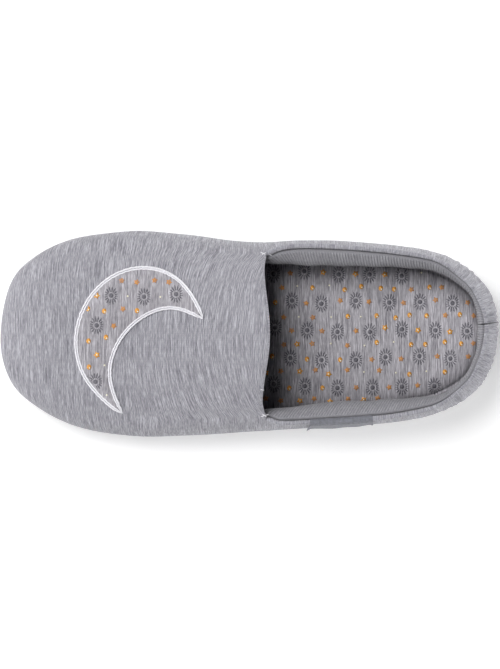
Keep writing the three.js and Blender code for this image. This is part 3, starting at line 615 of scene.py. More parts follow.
def makeUpper():
    p = upper
    stations, low, high = upperLayer(0.0)
    _, lowIn, highIn = upperLayer(shoe["wall"])
    columns, levels = low.shape[:2]
    vampCount, crownLevels = high.shape[:2]
    lowIds = np.arange(columns * levels).reshape(columns, levels)
    highIds = lowIds.size + np.arange(vampCount * crownLevels).reshape(vampCount, crownLevels)
    highIds[vampCount // 2 + 1:, -1] = highIds[:vampCount // 2, -1][::-1]
    outerSize = columns * levels + vampCount * crownLevels
    vampIds = np.concatenate([lowIds[:vampCount], highIds], 1)
    quarterIds = np.concatenate([lowIds[vampCount - 1:], lowIds[:1]], 0)
    outer = np.concatenate([low.reshape(-1, 3), high.reshape(-1, 3)])
    inner = np.concatenate([lowIn.reshape(-1, 3), highIn.reshape(-1, 3)])
    vampQuads, quarterQuads = cells(vampIds), cells(quarterIds)

    # places on the cloth: the vamp unrolled from its crown line, the quarter by girth and drop from the rim
    vampWall = outer[vampIds]
    drop = runLength(vampWall[:, ::-1], 1)[:, ::-1]
    away = unit(outline(stations[:vampCount]) - spine(stations[:vampCount]))
    vampCloth = vampWall[:, -1:, :2] + away[:, None, :] * drop[..., None]
    bowed = p["streakBow"] * smooth((p["streakFrom"] - vampCloth[..., 0]) / p["streakReach"])
    vampCloth[..., 0] += bowed * np.minimum(np.abs(vampCloth[..., 1]), p["streakSide"]) ** 2
    quarterWall = outer[quarterIds]
    girth = runLength(quarterWall[:, p["footLevels"]][None], 1)[0]
    half = girth[-1] / 2
    girth -= half
    fall = runLength(quarterWall[:, ::-1], 1)[:, ::-1]
    quarterCloth = np.stack([np.broadcast_to(girth[:, None], fall.shape) + p["quarterPlace"], fall], -1)

    # relief: seams press in between two soft lips, the elastic gathers the heel, and the cloth is uneven
    normals = normalsOf(outer, np.concatenate([vampQuads, quarterQuads]))
    vampGirth = runLength(vampWall[:, p["footLevels"]][None], 1)[0]
    fromSeam = np.zeros((columns, 1))
    fromSeam[:vampCount - 1, 0] = np.minimum(vampGirth, vampGirth[-1] - vampGirth)[:-1]
    fromSeam[vampCount:, 0] = half - np.abs(girth[1:-1])
    at = np.zeros((columns, 1))
    at[vampCount - 1:, 0] = girth[:-1]
    at[0] = half
    height = np.linspace(-p["footLevels"], p["wallLevels"], levels)[None, :] / p["wallLevels"]
    back = np.abs(at - p["backSeam"])
    quarter = (np.arange(columns) >= vampCount)[:, None]
    dips = gathers(at, height, back) - p["backDepth"] * seamPress(back, *p["backShape"])
    dips = dips * quarter - p["seamDepth"] * seamPress(fromSeam, *p["seamShape"])
    # -deepest (1 - exp(relief / deepest)) where the relief goes in
    pressed = -p["deepest"] * (1 - np.exp(np.minimum(dips, 0) / p["deepest"]))
    relief = p["softness"] * ripple(outer, p["softSize"], 3)
    relief[:columns * levels] += np.where(dips < 0, pressed, dips).ravel()
    points = np.concatenate([outer + normals * relief[:, None], inner])

    # the rim loop: round the collar, then over the throat and back
    collar = np.concatenate([lowIds[vampCount - 1:, -1], lowIds[:1, -1]])
    rim = np.concatenate([collar, highIds[0], highIds[-1, -2::-1]])
    ahead = np.roll(points[rim], -1, 0) - np.roll(points[rim], 1, 0)
    through = points[rim] - points[rim + outerSize]
    over = unit(np.cross(through, ahead))
    middle = (points[rim] + points[rim + outerSize]) / 2
    angles = np.linspace(0, math.pi, p["rimSteps"] + 1)[1:-1]
    bend = [middle + through / 2 * math.cos(a) + over * p["rimRound"] * math.sin(a) for a in angles]
    bendIds = len(points) + np.arange(len(bend) * len(rim)).reshape(len(bend), len(rim))
    points = np.concatenate([points] + bend)
    rimGrid = np.concatenate([rim[None], bendIds, rim[None] + outerSize])
    rimGrid = np.concatenate([rimGrid, rimGrid[:, :1]], 1)
    rimRun = runLength(points[rimGrid[:1]], 1) + p["quarterPlace"] - half
    rimDrop = -p["rimStep"] * np.arange(len(rimGrid))[:, None]
    rimCloth = np.stack(np.broadcast_arrays(rimRun, rimDrop), -1)

    footGrid = np.stack([lowIds[:, 0], lowIds[:, 0] + outerSize])
    footGrid = np.concatenate([footGrid, footGrid[:, :1]], 1)
    sheets = [(vampIds, vampCloth, 1), (quarterIds, quarterCloth, 1),
              (vampIds + outerSize, vampCloth, -1), (quarterIds + outerSize, quarterCloth, -1),
              (rimGrid, rimCloth, -1), (footGrid, points[footGrid][..., :2], 1)]
    quads = np.concatenate([cells(ids)[:, ::turn] for ids, _, turn in sheets])
    cloth = np.concatenate([cells(place)[:, ::turn] for _, place, turn in sheets])
    quads, cloth = facing(points, quads, cloth)
    piece = makePiece("upperJersey", points, quads, cloth=cloth)
    piece.data.materials.append(heatherJersey)
    piece.data.materials.append(shadeDarkLiningJersey)
    outside = len(vampQuads) + len(quarterQuads)
    slots = np.zeros(len(quads), np.int32)
    slots[outside:2 * outside] = 1
    piece.data.polygons.foreach_set("material_index", slots)
    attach(piece, "root")
    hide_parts("upper")


# station of the back seam, by its distance along the widest line
def seamStation():
    fine = np.linspace(heelRow - 0.5, heelRow + 1, 400)
    girth = runLength(wall(fine, 0.0)[None], 1)[0]
    return np.interp(np.interp(heelRow, fine, girth) + upper["backSeam"], girth, fine)


makeUpper()
print("stage: upper made")

# Collar lining: a padded roll of rib knit
facingRib = {
    "gap": 0.45, "pad": 8.2, "roll": 19.0, "cloth": 1.4, "drop": 0.4, "under": 0.5, "footLift": 4.8,
    "thin": 0.8, "lead": -2.0, "swell": 10.0,
    "pitch": 1.5, "height": 0.6, "stepsPerRib": 8,
    "softness": 0.3, "softSize": 22.0,         # slow unevenness of the roll, mm
    # how far a rib runs sideways per mm down the roll, from the outer corner round the heel to the inner one
    "slant": table((0, -0.5), (0.06, -0.62), (0.33, -0.58), (0.5, 0), (0.66, 0.2), (0.9, 0.25), (1, 0.8)),
    # the roll is fuller beside the throat than at the heel
    "fullness": table((0, 0.95), (0.08, 1), (0.16, 1.22), (0.25, 1.12), (0.3, 0.95), (0.36, 0.62),
                      (0.43, 0.6), (0.5, 0.84), (0.57, 0.62), (0.64, 0.7), (0.7, 0.86), (0.76, 1.04),
                      (0.84, 1.24), (0.89, 1.22), (0.94, 1.02), (1, 0.7)),
    # how far it stands off the wall, from the rim down the roll
    "profile": table((0, 0.14), (0.06, 0.4), (0.17, 0.72), (0.3, 0.93), (0.43, 1), (0.6, 0.88), (0.78, 0.52),
                     (1, 0.2)),
}


# loops round the roll: front from the rim down, skirt down to the insole, and back up behind; gives back
# the roll's line below the back seam
def makeFacing():
    p = facingRib
    fine = np.linspace(throatRow - p["under"], ringSize - throatRow + p["under"], 1200)
    ring = runLength((outline(fine) - outward(fine) * (shoe["wall"] + 4))[None], 1)[0]
    run = np.linspace(0, ring[-1], int(ring[-1] / p["pitch"]) * p["stepsPerRib"] + 1)[:, None]
    stations = np.interp(run, ring, fine)
    top = wall(stations, rimTurn(stations), shoe["wall"])[..., 2] - p["drop"]
    foot = soleTop(footAt(stations, shoe["wall"])[..., 0]) + p["footLift"]
    swell = smooth((throatX - p["lead"] - outline(stations)[..., 0]) / p["swell"])
    full = np.interp(run / ring[-1], *p["fullness"])
    drops = np.concatenate([np.linspace(0, 0.1, 4), np.linspace(0.1, 1, 19)[1:]])[None, :]
    even = np.linspace(0, 1, 60)
    rounded = np.convolve(np.pad(np.interp(even, *p["profile"]), 3, mode="edge"), np.ones(7) / 7, "valid")
    pads = np.interp(drops, even, rounded)
    pads[0, 0] = p["profile"][1, 0]
    pad = np.maximum(p["pad"] * full * pads * (p["thin"] + (1 - p["thin"]) * swell), p["pad"] * pads[0, 0])
    back = shoe["wall"] + p["gap"]
    height = top - p["roll"] * drops
    front = wallAtHeight(stations, height, back + pad)
    skirtMid = wallAtHeight(stations, (foot + height[:, -1:]) / 2, back + p["cloth"] + 0.1)
    skirt = wallAtHeight(stations, foot, back + p["cloth"])
    rear = wallAtHeight(stations, height[:, ::-4], back)
    loops = np.concatenate([front, skirtMid, skirt, wallAtHeight(stations, foot, back), rear], 1)
    if loops.shape[1] % 2:
        loops = np.concatenate([loops[:, :-1], (loops[:, -2:-1] + loops[:, -1:]) / 2, loops[:, -1:]], 1)
    points, quads = loftBody(loops)
    # ribs and slow unevenness stand off the roll's own face
    depth = runLength(loops, 1)
    down = depth[:, :front.shape[1]]
    aside = run + np.interp(run / ring[-1], *p["slant"]) * np.minimum(depth, down[:, -1:])
    cloth = np.stack([aside, depth], -1).reshape(-1, 2)
    ribs = np.abs(np.cos(math.pi * aside[:, :front.shape[1]] / p["pitch"])) ** 0.7 - 1
    uneven = ripple(np.stack([run + 0 * down, down], -1), p["softSize"], 14)
    lift = np.zeros(depth.shape)
    rise = p["height"] * ribs * smooth(down / 1.5) + p["softness"] * uneven * smooth(down / 3)
    lift[:, :front.shape[1]] = rise
    points = points + normalsOf(points, quads) * lift.reshape(-1, 1)
    piece = makePiece("collarRib", points, quads, cloth=cloth[quads.ravel()])
    piece.data.materials.append(ribKnit)
    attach(piece, "root")
    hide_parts("collar_facing")
    seam = np.argmin(np.abs(stations[:, 0] - seamStation()))
    return points.reshape(loops.shape)[seam, :front.shape[1]]


liningSeam = makeFacing()
print("stage: collar lining made")

# Insole and outsole share rings round the outline
insole = {
    "thickness": 7.0, "round": 1.0, "dome": 5.4, "domeReach": 9.5, "columns": 336, "topRings": 44,
    "cup": 1.5, "cupAt": (-76.0, 0.3), "cupReach": (46.0, 40.0),
    "softness": 0.12, "softSize": 30.0,
}
outsole = {
    "lip": 0.9, "chamfer": 1.6, "columns": 336,
    "grooveWidth": 2.2, "grooveDepth": 1.4, "pitch": 8.0, "sweep": 6.0, "margin": 6.5,
    "ballFrom": 0.58, "ballGrooves": 9, "heelFrom": 0.31, "heelGrooves": 6,
}


# closed body from rings: the first and last lie on the spine line, where mirrored stations share a point
def ringBody(rings):
    count = rings.shape[1]
    ids = np.arange(rings.shape[0] * count).reshape(rings.shape[0], count)
    mirror = (count - np.arange(count)) % count
    for level in (0, -1):
        ids[level] = np.where(np.arange(count) > count // 2, ids[level][mirror], ids[level])
    grid = np.concatenate([ids, ids[:, :1]], 1)
    points = rings.reshape(-1, 3)
    return points, facing(points, cells(grid))


def insolePlan(station, share):
    foot = footAt(station, shoe["wall"] + shoe["fit"])
    return foot + (spine(station) - foot) * share


# top face of the insole: even thickness over the sole, less a shallow cup under the heel and an oval fall
# towards its edge, 1 - sqrt(1 - nearness squared), and slightly uneven
def insoleHeight(plan):
    _, share, length = ringShare(plan, lambda at: insolePlan(at, 0))
    nearness = np.clip(1 - (1 - share) * length / insole["domeReach"], 0, 0.98)
    fall = insole["dome"] * (1 - np.sqrt(1 - nearness ** 2))
    x, y = plan[..., 0], plan[..., 1]
    at, size = insole["cupAt"], insole["cupReach"]
    reach = np.hypot((x - at[0]) / size[0], (y - at[1]) / size[1])
    cup = insole["cup"] * smooth(1.35 - 1.35 * reach) * (1 - smooth((x / shoe["length"] + 0.3) / 0.2))
    unevenness = insole["softness"] * ripple(plan, insole["softSize"], 5)
    return soleTop(x) + shoe["fit"] + insole["thickness"] - cup - fall + unevenness


def makeInsole():
    stations = np.linspace(0, ringSize, insole["columns"] + 1)[:-1]
    base = soleTop(insolePlan(stations, 0)[..., 0]) + shoe["fit"]
    rings = []
    for share in (1.0, 0.5, 0.0):
        plan = insolePlan(stations, share)
        rings.append(np.column_stack([plan, soleTop(plan[:, 0]) + shoe["fit"]]))
    rounding, rim = insole["round"], insole["thickness"] - insole["dome"]
    for turn in np.linspace(0, 1, 4)[1:]:
        rings.append(wallAtHeight(stations, base + (rim - rounding) * turn, shoe["wall"] + shoe["fit"]))
    side = wallAtHeight(stations, base + rim, shoe["wall"] + shoe["fit"])[:, :2]
    out = outward(stations)
    for turn in np.linspace(0, math.pi / 2, 7)[1:]:
        plan = side - out * rounding * (1 - math.cos(turn))
        low = base + rim - rounding * (1 - math.sin(turn))
        rings.append(np.column_stack([plan, low + (insoleHeight(plan) - base - rim) * math.sin(turn) ** 2]))
    edge = side - out * rounding
    for share in np.linspace(0, 1, insole["topRings"] + 1)[1:] ** 1.7:
        plan = edge + (spine(stations) - edge) * share
        rings.append(np.column_stack([plan, insoleHeight(plan)]))
    points, quads = ringBody(np.array(rings))
    piece = makePiece("insolePad", points, quads)
    piece.data.materials.append(insoleJersey)
    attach(piece, "root")
    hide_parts("insole")


# a closed prism over a plan polygon
def prismPiece(name, plan, bottom, top):
    size = len(plan)
    points = np.concatenate([np.column_stack([plan, np.full(size, height)]) for height in (bottom, top)])
    mesh = bpy.data.meshes.new(name)
    sides = [(i, (i + 1) % size, size + (i + 1) % size, size + i) for i in range(size)]
    caps = [tuple(range(size))[::-1], tuple(range(size, 2 * size))]
    mesh.from_pydata((points / 1000).tolist(), [], sides + caps)
    mesh.validate()
    piece = bpy.data.objects.new(name, mesh)
    bpy.context.scene.collection.objects.link(piece)
    return piece


# cuts or keeps a piece by another and removes the cutter
def booleanCut(piece, cutter, operation):
    step = piece.modifiers.new("cut", "BOOLEAN")
    step.operation, step.solver, step.object = operation, "MANIFOLD", cutter
    evaluated = piece.evaluated_get(bpy.context.evaluated_depsgraph_get())
    made = bpy.data.meshes.new_from_object(evaluated)
    piece.modifiers.clear()
    piece.data = made
    bpy.data.objects.remove(cutter)


def makeOutsole():
    p = outsole
    stations = np.linspace(0, ringSize, p["columns"] + 1)[:-1]
    rings = []

    def ring(plan, height):
        rings.append(np.column_stack([plan, height]))

    under = footAt(stations, p["chamfer"] - p["lip"])
    for share in (1.0, 0.66, 0.33, 0.0):
        plan = under + (spine(stations) - under) * share
        ring(plan, underside(plan[:, 0]))
    for turn in np.linspace(0, math.pi / 2, 5)[1:]:   # rounded lower edge
        plan = footAt(stations, p["chamfer"] * (1 - math.sin(turn)) - p["lip"])
        ring(plan, underside(plan[:, 0]) + p["chamfer"] * (1 - math.cos(turn)))
    for turn in np.linspace(0, math.pi / 2, 4):       # rounded lip at the top
        plan = footAt(stations, p["lip"] * (1 - math.cos(turn)) - p["lip"])
        ring(plan, soleTop(plan[:, 0]) - p["lip"] * (1 - math.sin(turn)))
    for plan in [footAt(stations, shoe["wall"])] + [insolePlan(stations, share) for share in (0, 0.5, 1)]:
        ring(plan, soleTop(plan[:, 0]))
    points, quads = ringBody(np.array(rings))
    piece = makePiece("rubberSole", points, quads)
    half = shoe["ball"] / 2 + p["sweep"]
    places = [(p["ballFrom"] - 0.5) * shoe["length"] + i * p["pitch"] for i in range(p["ballGrooves"])]
    places += [(p["heelFrom"] - 0.5) * shoe["length"] - i * p["pitch"] for i in range(p["heelGrooves"])]
    field = footAt(np.arange(0, ringSize, 0.25), p["margin"])
    w, s = p["grooveWidth"] / 2, p["sweep"]
    for number, x in enumerate(places):       # each groove bends back to both sides
        plan = np.array([(x - w - s, -half), (x + w - s, -half), (x + w, 0),
                         (x + w - s, half), (x - w - s, half), (x - w, 0)])
        bar = prismPiece(f"groove{number}", plan, -p["grooveDepth"], p["grooveDepth"])
        booleanCut(bar, prismPiece("field", field, -4.0, 4.0), "INTERSECT")
        booleanCut(piece, bar, "DIFFERENCE")
    piece.data.set_sharp_from_angle(angle=math.radians(38))
    piece.data.materials.clear()
    piece.data.materials.append(soleRubber)
    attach(piece, "root")
    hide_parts("outsole")


makeInsole()
makeOutsole()
print("stage: insole and outsole made")

# Crescent: two ovals, each with its centre ahead of the throat, radii and turn
crescent = {
    "moon": {"ahead": 64.6, "outer": 1.7, "along": 31.8, "across": 36.0, "turn": math.radians(-18)},
    "bite": {"ahead": 50.0, "outer": 16.7, "along": 27.8, "across": 32.4, "turn": math.radians(-40)},
    "tips": np.array([(23.7, -7.8), (65.1, 40.7)]), "tipReach": 10.0,
    "stitchWidth": 2.0, "stitchHeight": 0.85, "rowPlace": 0.54, "rowWidth": 0.46, "taper": (0.12, 5.0),
    "lift": 0.35, "thickness": 0.7, "sunk": 0.25, "puff": 0.8, "puffReach": 3.0,
    "thread": 0.5,             # pitch of the satin threads, drawn a little coarse so that they show
}


# ellipse point turned and moved to its centre
def ovalPoint(oval, angle):
    x, y = oval["along"] * np.cos(angle), oval["across"] * np.sin(angle)
    c, s = math.cos(oval["turn"]), math.sin(oval["turn"])
    return np.stack([c * x - s * y + throatX + oval["ahead"], s * x + c * y + oval["outer"]], -1)


# distance in plan from an oval's line, from its level over its slope: above zero outside
def ovalDistance(oval, plan):
    c, s = math.cos(oval["turn"]), math.sin(oval["turn"])
    x, y = plan[..., 0] - throatX - oval["ahead"], plan[..., 1] - oval["outer"]
    u, v = (c * x + s * y) / oval["along"], (c * y - s * x) / oval["across"]
    level = np.hypot(u, v)
    return (level - 1) * level / np.maximum(np.hypot(u / oval["along"], v / oval["across"]), 1e-6)


# start and end angle of the arc of one oval that lies outside, or inside, the other
def arcSpan(own, other, outside):
    angles = np.linspace(0, 2 * math.pi, 7201)
    kept = (ovalDistance(other, ovalPoint(own, angles)) > 0) == outside
    change = np.flatnonzero(kept[1:] != kept[:-1])
    start, end = (angles[[i for i in change if kept[i + 1] == wanted][0]] for wanted in (True, False))
    return np.array([start, end + (2 * math.pi if end < start else 0)])


# plan points near a crossing of the ovals move with the tip: its shift times exp(-(distance / reach) squared)
def toTips(plan):
    ends = ovalPoint(crescent["moon"], arcSpan(crescent["moon"], crescent["bite"], True))
    moved = plan
    for tip in crescent["tips"]:
        crossing = ends[np.argmin(np.linalg.norm(ends - tip, axis=1))]
        near = np.exp(-(np.linalg.norm(plan - crossing, axis=-1) / crescent["tipReach"]) ** 2)
        moved = moved + (tip - crossing) * near[..., None]
    return moved


# satin ridge: two round rows side by side, sqrt(1 - ((|side| - place) / width) squared), carried along
# an arc, its threads as ribs across; it tapers to a small share of its width at both tips
def satinRidge(own, other, outside):
    p = crescent
    fine = np.linspace(*arcSpan(own, other, outside), 3000)
    path = toTips(ovalPoint(own, fine))
    length = runLength(path[None], 1)[0]
    run = np.linspace(0, length[-1], int(length[-1] / p["thread"] * 5) + 1)
    middle = np.stack([np.interp(run, length, path[:, i]) for i in (0, 1)], 1)
    ahead = unit(np.gradient(middle, axis=0))
    across = np.stack([-ahead[:, 1], ahead[:, 0]], 1)
    least, reach = p["taper"]
    fromTip = np.clip(np.minimum(run, run[-1] - run) / reach, 0, 1)[:, None]
    taper = least + (1 - least) * fromTip ** 0.7
    thread = 0.5 + 0.5 * np.cos(2 * math.pi * run / p["thread"])[:, None]
    row = p["rowPlace"] - p["rowWidth"] * np.cos(np.linspace(0, math.pi, 9))
    face = np.concatenate([-row[::-1], [0], row])
    dome = np.sqrt(np.clip(1 - ((np.abs(face) - p["rowPlace"]) / p["rowWidth"]) ** 2, 0, 1))
    side = np.concatenate([face, np.linspace(1, -1, 5)[1:-1]])
    lift = np.concatenate([dome, np.zeros(3)])
    frayed = 0.07 * ripple(run[:, None], 3.0, 8)[:, None]
    away = p["stitchWidth"] / 2 * taper * (1 + 0.05 * thread) * side + frayed
    plan = middle[:, None] + across[:, None] * away[..., None]
    rise = p["stitchHeight"] * taper * lift * (0.82 + 0.18 * thread)
    height = vampHeight(plan, -p["lift"]) + rise - p["sunk"] * (lift <= 0)
    return loftBody(np.concatenate([plan, height[..., None]], -1))


def makeSatin():
    outerPoints, outerQuads = satinRidge(crescent["moon"], crescent["bite"], True)
    innerPoints, innerQuads = satinRidge(crescent["bite"], crescent["moon"], False)
    points = np.concatenate([outerPoints, innerPoints + [0, 0, 0.06]])   # lies over the outer one at the tips
    quads = np.concatenate([outerQuads, innerQuads + len(outerPoints)])
    piece = makePiece("moonSatin", points, quads)
    piece.data.materials.append(satinThread)
    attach(piece, "root")
    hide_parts("moon_stitching")


# how far inside the crescent a plan point lies, from the nearer of its two lines
def insideMoon(plan):
    back = plan - (toTips(plan) - plan)
    return np.minimum(-ovalDistance(crescent["moon"], back), ovalDistance(crescent["bite"], back))


# height of the patch's face: the vamp, its lift and a puff of 1 - exp(-(distance / reach) squared)
def patchHeight(plan):
    p = crescent
    puff = p["puff"] * (1 - np.exp(-(np.maximum(insideMoon(plan), 0) / p["puffReach"]) ** 2))
    return vampHeight(plan, -p["lift"] - p["thickness"]) - p["sunk"] + puff + 0.1 * ripple(plan, 9.0, 6)


# sheet between the two arcs, its edge under the satin
def makePatch():
    shrink = crescent["stitchWidth"] / 2 - 0.3
    grown = [dict(crescent[name], along=crescent[name]["along"] + by, across=crescent[name]["across"] + by)
             for name, by in (("moon", -shrink), ("bite", shrink))]
    spans = [arcSpan(*grown, True), arcSpan(*grown[::-1], False)]
    outer, inner = (ovalPoint(oval, span) for oval, span in zip(grown, spans))
    if np.linalg.norm(outer[0] - inner[0]) > np.linalg.norm(outer[0] - inner[1]):
        spans[1] = spans[1][::-1]
    along = np.linspace(0.012, 0.988, 150)[:, None]
    sides = [ovalPoint(oval, span[0] + (span[1] - span[0]) * along) for oval, span in zip(grown, spans)]
    plan = toTips(sides[0] + (sides[1] - sides[0]) * np.linspace(0, 1, 25)[None, :, None])
    over = np.concatenate([plan, patchHeight(plan)[..., None]], -1)
    under = np.concatenate([plan, vampHeight(plan, 0.15 - crescent["lift"])[..., None]], -1)
    piece = makePiece("moonPatch", *loftBody(np.concatenate([under, over[:, ::-1]], 1)))
    piece.data.set_sharp_from_angle(angle=math.radians(50))
    piece.data.materials.append(patchJersey)
    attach(piece, "root")
    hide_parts("moon_patch")


makeSatin()
makePatch()
print("stage: crescent made")

# Print: small shapes on a shaken lattice, each a thin closed film that lies on the cloth
printing = {
    "pitch": 8.4, "shake": 1.2, "film": 0.05,
    "seedHead": 4.1, "rays": 16, "rayWidth": 0.5, "core": 1.2, "oval": 0.66, "bead": 0.3,
    # the glint is a painted highlight: a cream spot laid on gold shapes
    "dot": 1.4, "star": 1.85, "starWaist": 0.58, "ochreStar": 0.92, "speck": 0.5, "paintedHighlightSize": 0.42,
    "headRoom": 3.2, "smallRoom": 2.0,        # a shape nearer than this to the cloth's edge is left out
    # kinds of place in the lattice, from 1 to 7, by what stands there
    "dots": (1, 4), "stars": (6,), "ochre": (2, 3, 5), "specks": (7,),
}


# centres of the lattice in a plan box, and a kind for each: 0 at every second place of every second row,
# the others from 1 to 7
def lattice(low, high, seed):
    p, rng = printing, np.random.default_rng(seed)
    rowShare = 0.87           # rows stand closer than the places in a row
    counts = [int((high[0] - low[0]) / p["pitch"]) + 2, int((high[1] - low[1]) / p["pitch"] / rowShare) + 2]
    column, row = (part.ravel() for part in np.indices(counts))
    centres = np.array(low) + p["pitch"] * np.stack([column + 0.5 * (row % 2), rowShare * row], -1)
    slanted = column - row // 2
    kind = np.where((slanted % 2 == 0) & (row % 2 == 0), 0, 1 + (3 * slanted + 5 * row + slanted // 3) % 7)
    return centres + rng.uniform(-p["shake"], p["shake"], centres.shape), kind, rng


# rings of points round centres: radius by angle, each turned by its own angle
def ringsAt(centres, radii, turns, squash=1.0):
    angles = 2 * math.pi * np.arange(len(radii)) / len(radii) + turns[:, None]
    return centres[:, None] + np.stack([np.cos(angles) * radii * squash, np.sin(angles) * radii], -1)


# films from plan rings (count, size, 2): a fan above, a fan below and a strip between them, each raised by
# the lift over the surface
def layFilms(name, material, surface, shapes, lift=0.0):
    points, quads, tris, start = [], [], [], 0
    for rings in shapes:
        count, size = rings.shape[:2]
        plan = np.concatenate([rings, rings.mean(1, keepdims=True)], 1)
        height = surface(plan) + lift
        both = [np.concatenate([plan, (height + side * printing["film"])[..., None]], -1) for side in (1, -1)]
        points.append(np.concatenate(both, 1).reshape(-1, 3))
        here, after, below = np.arange(size), (np.arange(size) + 1) % size, size + 1
        fans = [(here, after, 0 * here + size), (after + below, here + below, 0 * here + size + below)]
        first = start + np.arange(count)[:, None, None] * 2 * below
        tris.append((first + np.concatenate([np.stack(fan, 1) for fan in fans])).reshape(-1, 3))
        quads.append((first + np.stack([here + below, after + below, after, here], 1)).reshape(-1, 4))
        start += count * 2 * below
    piece = makePiece(name, np.concatenate(points), np.concatenate(quads), np.concatenate(tris))
    piece.data.materials.append(material)
    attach(piece, "root")


# seed heads: a core and rays round it, longer towards the sides than along the toe
def seedHeads(centres, turns):
    p = printing
    angles = turns[:, None] + 2 * math.pi * np.arange(p["rays"]) / p["rays"]
    way = np.stack([np.cos(angles), np.sin(angles)], -1)
    across = np.stack([-way[..., 1], way[..., 0]], -1) * p["rayWidth"] / 2
    reach = p["seedHead"] * np.hypot(way[..., 0] * p["oval"], way[..., 1])[..., None]
    near, far = centres[:, None] + way * 1.6 * p["core"], centres[:, None] + way * reach
    rays = np.stack([near - across, far - 1.7 * across, far + 1.7 * across, near + across], 2)
    ends = (centres[:, None] + way * (reach + 0.35)).reshape(-1, 2)
    beads = ringsAt(ends, np.full(6, p["bead"]), np.zeros(len(ends)))
    return [ringsAt(centres, np.full(10, p["core"]), turns), rays.reshape(-1, 4, 2), beads]


# seed heads, dots, stars and specks on one cloth; dots and gold stars carry a cream spot of painted highlight
def makePrint(cloth, low, high, seed, inside, surface):
    p = printing
    centres, kind, rng = lattice(low, high, seed)
    turns = rng.uniform(0, 2 * math.pi, len(centres))
    room = inside(centres)
    heads = (kind == 0) & (room > p["headRoom"])
    small = (kind > 0) & (room > p["smallRoom"])
    picked = [small & np.isin(kind, p[name]) for name in ("dots", "stars", "ochre", "specks")]
    dots, stars, ochre, specks = (centres[pick] for pick in picked)
    turnOf = [turns[pick] for pick in picked]
    dotRing, starRing = np.full(12, p["dot"]), p["star"] * np.tile([1, p["starWaist"]], 5)
    # painted highlight: a cream spot on each gold dot and star stands in for the foil's glint
    paintedHighlightAt = np.concatenate([dots + [-0.35, 0.5], stars])
    layFilms("charcoalPrint" + cloth, charcoalInk, surface, seedHeads(centres[heads], turns[heads]))
    layFilms("goldPrint" + cloth, goldFoil, surface,
             [ringsAt(dots, dotRing, turnOf[0], 0.85), ringsAt(stars, starRing, turnOf[1])])
    layFilms("ochrePrint" + cloth, ochreInk, surface, [ringsAt(ochre, p["ochreStar"] * starRing, turnOf[2])])
    layFilms("creamPrintAndHighlight" + cloth, creamInkAndPaintedHighlight, surface,
             [ringsAt(specks, np.full(8, p["speck"]), turnOf[3]),
              ringsAt(paintedHighlightAt, np.full(8, p["paintedHighlightSize"]), paintedHighlightAt[:, 0])], 2.5 * p["film"])


def insideInsole(plan):
    _, share, length = ringShare(plan, lambda at: insolePlan(at, 0))
    return np.where(share < 1, (1 - share) * length, -1)


makePrint("Insole", (-122, -46), (122, 46), 4, insideInsole, insoleHeight)
# on the patch the films sink where they would reach over the satin
makePrint("Moon", (28, -34), (92, 40), 9, lambda plan: insideMoon(plan) + 0.6,
          lambda plan: patchHeight(plan) - 1.2 * smooth((1.3 - insideMoon(plan)) / 0.5))
print("stage: print made")

# Bar tacks at the throat's corners and a loose thread end on its hem: plan points of start and end, and how
# far the thread drops behind the hem
tacks = {
    "stitches": np.array([(-5.9, 42.4, -10.0, 41.2), (-6.6, 40.9, -8.9, 42.6), (-5.8, -42.0, -8.6, -40.6),
                          (-6.4, -40.6, -8.7, -42.0), (-9.9, -41.0, -11.6, -40.2), (-5.7, 28.4, -7.7, 28.7)]),
    "drop": np.array([2.4, 1.6, 1.6, 1.4, 3.2, 1.0]), "radius": 0.19, "rise": 0.8, "hem": -6.2,
}


# closed tubes round paths (count, steps, 3): radius by step, thinner at the ends
def tubes(paths, radius):
    turns = np.linspace(0, 2 * math.pi, 9)[:-1][None, :, None]
    t = np.linspace(0, 1, paths.shape[1])[:, None]
    reach = radius * np.sqrt(np.clip(t * (1 - t) * 8, 0.1, 1))[..., None]
    points, quads = [], []
    for number, path in enumerate(paths):
        ahead = np.gradient(path, axis=0)
        aside = unit(np.cross(ahead, [0.1, 0.2, 1]))
        over = unit(np.cross(aside, ahead))
        around = aside[:, None] * np.cos(turns) + over[:, None] * np.sin(turns)
        made, faces = loftBody(path[:, None] + reach * around)
        points.append(made)
        quads.append(faces + number * len(made))
    return np.concatenate(points), np.concatenate(quads)


def makeTacks():
    startX, startY, endX, endY = (column[:, None] for column in tacks["stitches"].T)
    t = np.linspace(0, 1, 13)[None, :]
    plan = np.stack([startX * (1 - t) + endX * t, startY * (1 - t) + endY * t], -1)
    held = np.stack([np.maximum(plan[..., 0], tacks["hem"]), plan[..., 1]], -1)
    behind = smooth((tacks["hem"] - 0.5 - plan[..., 0]) / 2.5)
    height = vampHeight(held, 0) + 0.1 + tacks["rise"] * t * (1 - t) * 4 - tacks["drop"][:, None] * behind
    piece = makePiece("barTacks", *tubes(np.concatenate([plan, height[..., None]], -1), tacks["radius"]))
    piece.data.materials.append(satinThread)
    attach(piece, "root")


# the thread of the back seam: from the sole up between its two lips, over the rim and down the lining
def makeBackSeam():
    station = seamStation()
    turn = rimTurn(station)
    turns = np.concatenate([np.linspace(-shoe["tuckTurn"], 0, 20), np.linspace(0, 1, 30)[1:] * turn])
    climb = wall(np.full(len(turns), station), turns, upper["seamSunk"])
    over = wall(station, turn, shoe["wall"] / 2) + [0, 0, upper["rimRound"]]
    corners = np.concatenate([climb, over[None], liningSeam])
    run = runLength(corners[None], 1)[0]
    even = np.linspace(0, run[-1], 160)
    path = np.stack([np.interp(even, run, corners[:, i]) for i in range(3)], 1)
    path[1:-1] = (path[:-2] + path[1:-1] + path[2:]) / 3
    piece = makePiece("backSeamThread", *tubes(path[None], upper["seamThread"]))
    piece.data.materials.append(seamThread)
    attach(piece, "root")


makeTacks()
makeBackSeam()
print("stage: bar tacks and back seam made")

